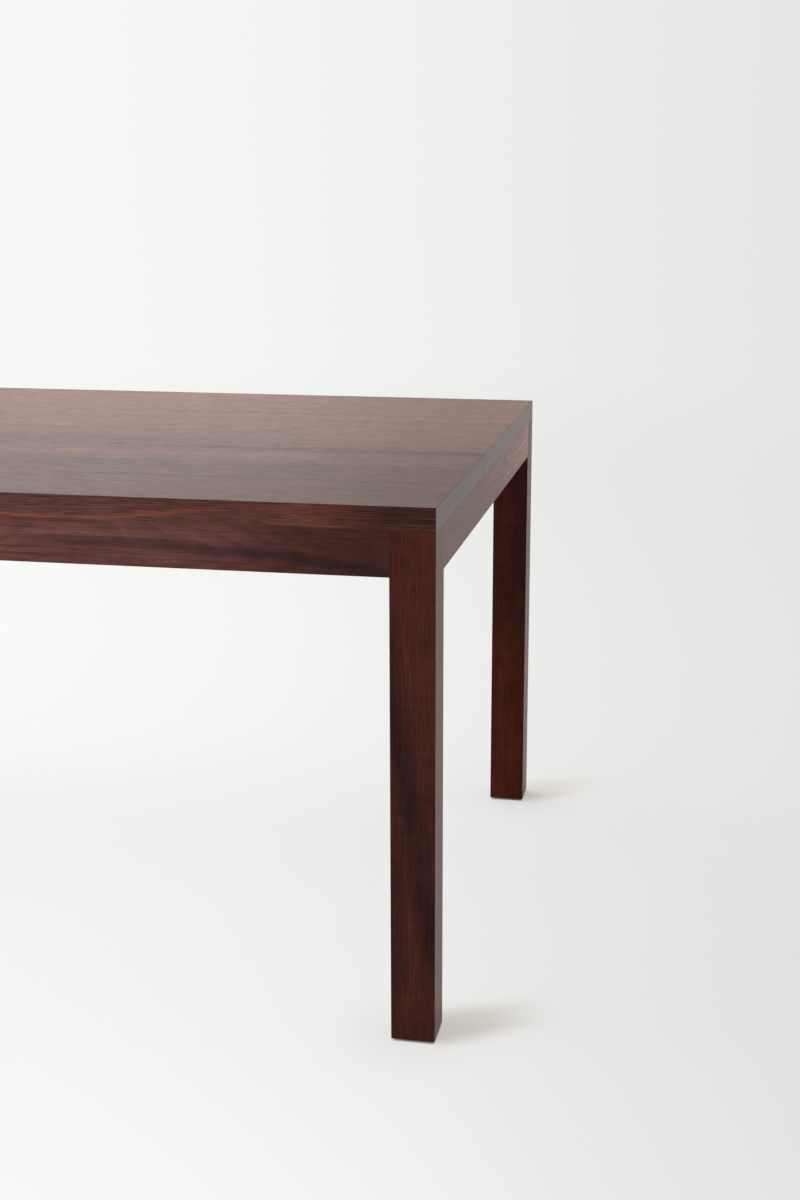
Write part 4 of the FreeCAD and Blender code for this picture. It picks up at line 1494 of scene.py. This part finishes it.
@dataclass
class Studio:
    """Floor, backdrop, light and camera.

    The rows named step and the like are smooth steps: start, end and, where there are four numbers,
    the results at both ends. cover is the share of backdrop white that the floor shows.
    """

    effects: Effects
    eye: Triple = (1.4483, -2.6547, 1.2030)
    yaw: float = -0.1971
    pitch: float = 0.2526
    roll: float = 0.0029
    focal_pixels: float = 1729.64
    picture_height: float = 1200.0
    sensor: float = 36.0
    sight: float = 200.0
    ambient: float = 0.68
    gloss_step: tuple[float, ...] = (0.13, 0.30, 1.0, 0.44)
    floor_half: float = 40.0
    floor_drop: float = 0.0003
    floor_tones: tuple[Colour, Colour] = ((0.905, 0.903, 0.897), (0.920, 0.919, 0.913))
    floor_scales: Pair = (2.0, 9.0)
    floor_shine: float = 0.30
    floor_roughness: float = 0.26
    floor_speck: float = 0.04
    fan_centre: Triple = (1.5, -2.6, 0.0)
    fan_reach: float = 1.2
    boost_step: tuple[float, ...] = (-0.25, 0.15, 1.05, 1.0)
    boost_reach: Pair = (2.5, 3.3)
    foot: Triple = (1.036, 0.477, 0.0)
    foot_step: Pair = (0.026, 0.033)
    foot_cover: float = 0.06
    around_step: tuple[float, ...] = (0.03, 0.15, 0.76, 0.85)
    far_step: Pair = (2.4, 7.5)
    shadow_way: Triple = (0.86, 0.51, 0.0)
    shadow_side: Triple = (-0.51, 0.86, 0.0)
    shadow_rise: Pair = (-0.01, 0.03)
    shadow_fall: Pair = (0.28, 0.01)
    shadow_width: Pair = (0.075, 0.015)
    shadow_tint: Colour = (1.0, 0.965, 0.895)
    shadow_cover: float = 0.50
    lamps: tuple[Lamp, ...] = (
        Lamp("left_window", (-3.6, -2.2, 1.8), (0.0, -2.2, 1.2), (8.4, 3.2), 260.0),
        Lamp("ceiling_panel", (-1.3, 1.0, 3.3), (-0.3, 0.3, 0.0), (3.2, 2.8), 90.0),
    )

    def build(self) -> None:
        """Sets up the whole studio."""
        self._floor()
        self._world()
        for lamp in self.lamps:
            self._light(lamp)
        self._camera()
        bpy.context.scene.view_settings.view_transform = "Standard"

    def _seen(self, bench: Bench) -> bpy.types.NodeSocket:
        """Tells rays that show the backdrop from rays that only light.

        Args:
            bench: The bench of the floor's material or of the world.

        Returns:
            The socket, one for a ray that shows the backdrop and zero for any other.
        """
        path = bench.node("ShaderNodeLightPath")
        seen = bench.maths("MAXIMUM", path.outputs["Is Camera Ray"], path.outputs["Is Glossy Ray"])
        return bench.maths("MAXIMUM", seen, path.outputs["Is Transmission Ray"])

    def _floor(self) -> None:
        """A wide pale floor that fades into the backdrop."""
        mesh = bmesh.new()
        half = self.floor_half
        outline = ((-half, -half), (half, -half), (half, half), (-half, half))
        mesh.faces.new([mesh.verts.new((x, y, -self.floor_drop)) for x, y in outline])
        floor = finished(mesh, "studio_floor")
        material = bpy.data.materials.new("pale_floor")
        material.use_nodes = True
        bench = Bench(material.node_tree)
        shader = material.node_tree.nodes["Principled BSDF"]
        shader.inputs["Specular IOR Level"].default_value = self.floor_shine
        place = bench.node("ShaderNodeTexCoord").outputs["Object"]
        cloud_scale, speck_scale = self.floor_scales
        feeds = {"Vector": place, "Cloud Scale": cloud_scale, "Speck Scale": speck_scale}
        skin = bench.place(self.effects.skin, feeds)
        pale = bench.mix(skin.outputs["Cloud"], *(opaque(tone) for tone in self.floor_tones))
        rough = bench.maths("MULTIPLY_ADD", skin.outputs["Speck"], self.floor_speck, self.floor_roughness)
        bench.feed(shader.inputs["Roughness"], rough)
        # Painted shadow: a warm shadow beside each foot, away from the window, is drawn into the floor's
        # colour and into its glow.
        signs = bench.join(*(bench.maths("SIGN", part) for part in bench.split(place)))
        own = bench.vector("SUBTRACT", place, bench.vector("MULTIPLY", signs, self.foot))
        shade = self._foot_shadow(bench, own)
        tint = opaque(self.shadow_tint)
        bench.feed(shader.inputs["Base Color"], bench.mix(shade, pale, tint, "MULTIPLY"))
        glow = bench.node("ShaderNodeEmission")
        tone = self._floor_tone(bench, place)
        bench.feed(glow.inputs["Color"], bench.mix(shade, tone, tint, "MULTIPLY"))
        blend = bench.node("ShaderNodeMixShader")
        cover = self._cover(bench, place, own, shade)
        bench.feed(blend.inputs[0], bench.maths("MULTIPLY", cover, self._seen(bench)))
        bench.feed(blend.inputs[1], shader.outputs[0])
        bench.feed(blend.inputs[2], glow.outputs[0])
        clear = bench.node("ShaderNodeMixShader")
        below = bench.node("ShaderNodeNewGeometry").outputs["Backfacing"]
        camera_ray = bench.node("ShaderNodeLightPath").outputs["Is Camera Ray"]
        bench.feed(clear.inputs[0], bench.maths("MULTIPLY", below, camera_ray))
        bench.feed(clear.inputs[1], blend.outputs[0])
        bench.feed(clear.inputs[2], bench.node("ShaderNodeBsdfTransparent").outputs[0])
        bench.feed(material.node_tree.nodes["Material Output"].inputs["Surface"], clear.outputs[0])
        floor.data.materials.append(material)
        floor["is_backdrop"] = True

    def _foot_shadow(self, bench: Bench, own: bpy.types.NodeSocket) -> bpy.types.NodeSocket:
        """The warm painted shadow that each foot draws away from the window.

        Args:
            bench: The bench of the floor's material.
            own: The place as seen from the nearest foot.

        Returns:
            The socket of the shadow's mask.
        """
        away = bench.vector("DOT_PRODUCT", own, self.shadow_way)
        beside = bench.maths("ABSOLUTE", bench.vector("DOT_PRODUCT", own, self.shadow_side))
        rise, fall = bench.fade(away, *self.shadow_rise), bench.fade(away, *self.shadow_fall)
        shade = bench.maths("MULTIPLY", rise, fall)
        return bench.maths("MULTIPLY", shade, bench.fade(beside, *self.shadow_width))

    def _floor_tone(self, bench: Bench, place: bpy.types.NodeSocket) -> bpy.types.NodeSocket:
        """The white of the floor, which fans out as the backdrop's does.

        Args:
            bench: The bench of the floor's material.
            place: The place on the floor.

        Returns:
            The socket of the colour.
        """
        away = bench.vector("SUBTRACT", place, self.fan_centre)
        reach = bench.maths("MAXIMUM", bench.vector("LENGTH", away), self.fan_reach)
        lean = bench.vector("SCALE", away, by=bench.maths("DIVIDE", 1.0, reach))
        tone = bench.place(self.effects.backdrop, {"Direction": lean}).outputs["Color"]
        boost = bench.fade(bench.split(lean)[0], *self.boost_step)
        return bench.vector("SCALE", tone, by=bench.fade(reach, *self.boost_reach, boost, 1.0))

    def _cover(
        self,
        bench: Bench,
        place: bpy.types.NodeSocket,
        own: bpy.types.NodeSocket,
        shade: bpy.types.NodeSocket,
    ) -> bpy.types.NodeSocket:
        """The share of plain white, low under the feet and in their painted shadows, full far away.

        Args:
            bench: The bench of the floor's material.
            place: The place on the floor.
            own: The place as seen from the nearest foot.
            shade: The mask of the feet's shadows.

        Returns:
            The socket of the share.
        """
        across, deep, _ = bench.split(bench.vector("ABSOLUTE", own))
        around = bench.fade(bench.vector("LENGTH", own), *self.around_step)
        near = bench.fade(shade, 0.0, 1.0, around, self.shadow_cover)
        near = bench.fade(bench.maths("MAXIMUM", across, deep), *self.foot_step, self.foot_cover, near)
        return bench.fade(bench.vector("LENGTH", place), *self.far_step, near, 1.0)

    def _world(self) -> None:
        """White for the camera and reflections, a calmer grey for the light on the table."""
        world = bpy.data.worlds.new("white_studio")
        bpy.context.scene.world = world
        world.use_nodes = True
        bench = Bench(world.node_tree)
        shade = world.node_tree.nodes["Background"]
        direction = bench.node("ShaderNodeTexCoord").outputs["Generated"]
        tone = bench.place(self.effects.backdrop, {"Direction": direction})
        camera_ray = bench.node("ShaderNodeLightPath").outputs["Is Camera Ray"]
        colour = bench.mix(camera_ray, tone.outputs["Room"], tone.outputs["Color"])
        bench.feed(shade.inputs["Color"], colour)
        gloss = bench.fade(bench.split(direction)[2], *self.gloss_step)
        level = bench.fade(self._seen(bench), 0.0, 1.0, self.ambient, gloss)
        bench.feed(shade.inputs["Strength"], bench.fade(camera_ray, 0.0, 1.0, level, 1.0))

    def _light(self, lamp: Lamp) -> None:
        """Hangs one lamp, unseen by the camera and in reflections.

        Args:
            lamp: Its place, target, size and power.
        """
        data = bpy.data.lights.new(lamp.name, "AREA")
        data.shape = "RECTANGLE"
        data.size, data.size_y = lamp.size
        data.energy = lamp.power
        light = bpy.data.objects.new(lamp.name, data)
        light.location = lamp.place
        light.visible_camera = False
        light.visible_glossy = False
        light.rotation_euler = (Vector(lamp.target) - Vector(lamp.place)).to_track_quat("-Z", "Y").to_euler()
        bpy.context.scene.collection.objects.link(light)

    def _camera(self) -> None:
        """The camera at the photograph's place and angle."""
        ahead = Vector((math.sin(self.yaw), math.cos(self.yaw), 0.0)) * math.cos(self.pitch)
        ahead.z = -math.sin(self.pitch)
        right = Vector((math.cos(self.yaw), -math.sin(self.yaw), 0.0))
        down = ahead.cross(right)
        level = right * math.cos(self.roll) + down * math.sin(self.roll)
        drop = down * math.cos(self.roll) - right * math.sin(self.roll)
        data = bpy.data.cameras.new("view")
        data.sensor_width = self.sensor
        data.lens = self.focal_pixels / self.picture_height * self.sensor
        data.clip_end = self.sight
        camera = bpy.data.objects.new("view", data)
        turn = Matrix((level, -drop, -ahead)).transposed()
        camera.matrix_world = Matrix.Translation(self.eye) @ turn.to_4x4()
        bpy.context.scene.collection.objects.link(camera)
        bpy.context.scene.camera = camera


def corners(box: tuple) -> list[list[float]]:
    """The two corners of a box as plain lists of numbers."""
    return [[float(part) for part in corner] for corner in box]


def main() -> None:
    """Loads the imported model, dresses every piece and sets up the studio."""
    logging.basicConfig(level=logging.INFO, format="%(message)s")
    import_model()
    effects = Effects(
        figure=make_plank_figure(),
        colour=make_plank_colour(),
        edge=make_edge_line(),
        streak=make_streak_band(),
        skin=make_fine_skin(),
        backdrop=make_backdrop_tone(),
    )
    steel = make_hardware(ZINC, effects)
    TableTop(effects).dress()
    ApronFrame(effects).dress()
    LegSet(effects).dress()
    Bracing(effects).dress()
    WoodScrews(steel).build()
    LevellingFeet(steel, make_hardware(BRASS, effects), make_hardware(NYLON, effects)).build()
    Studio(effects).build()


if __name__ == "__main__":
    main()
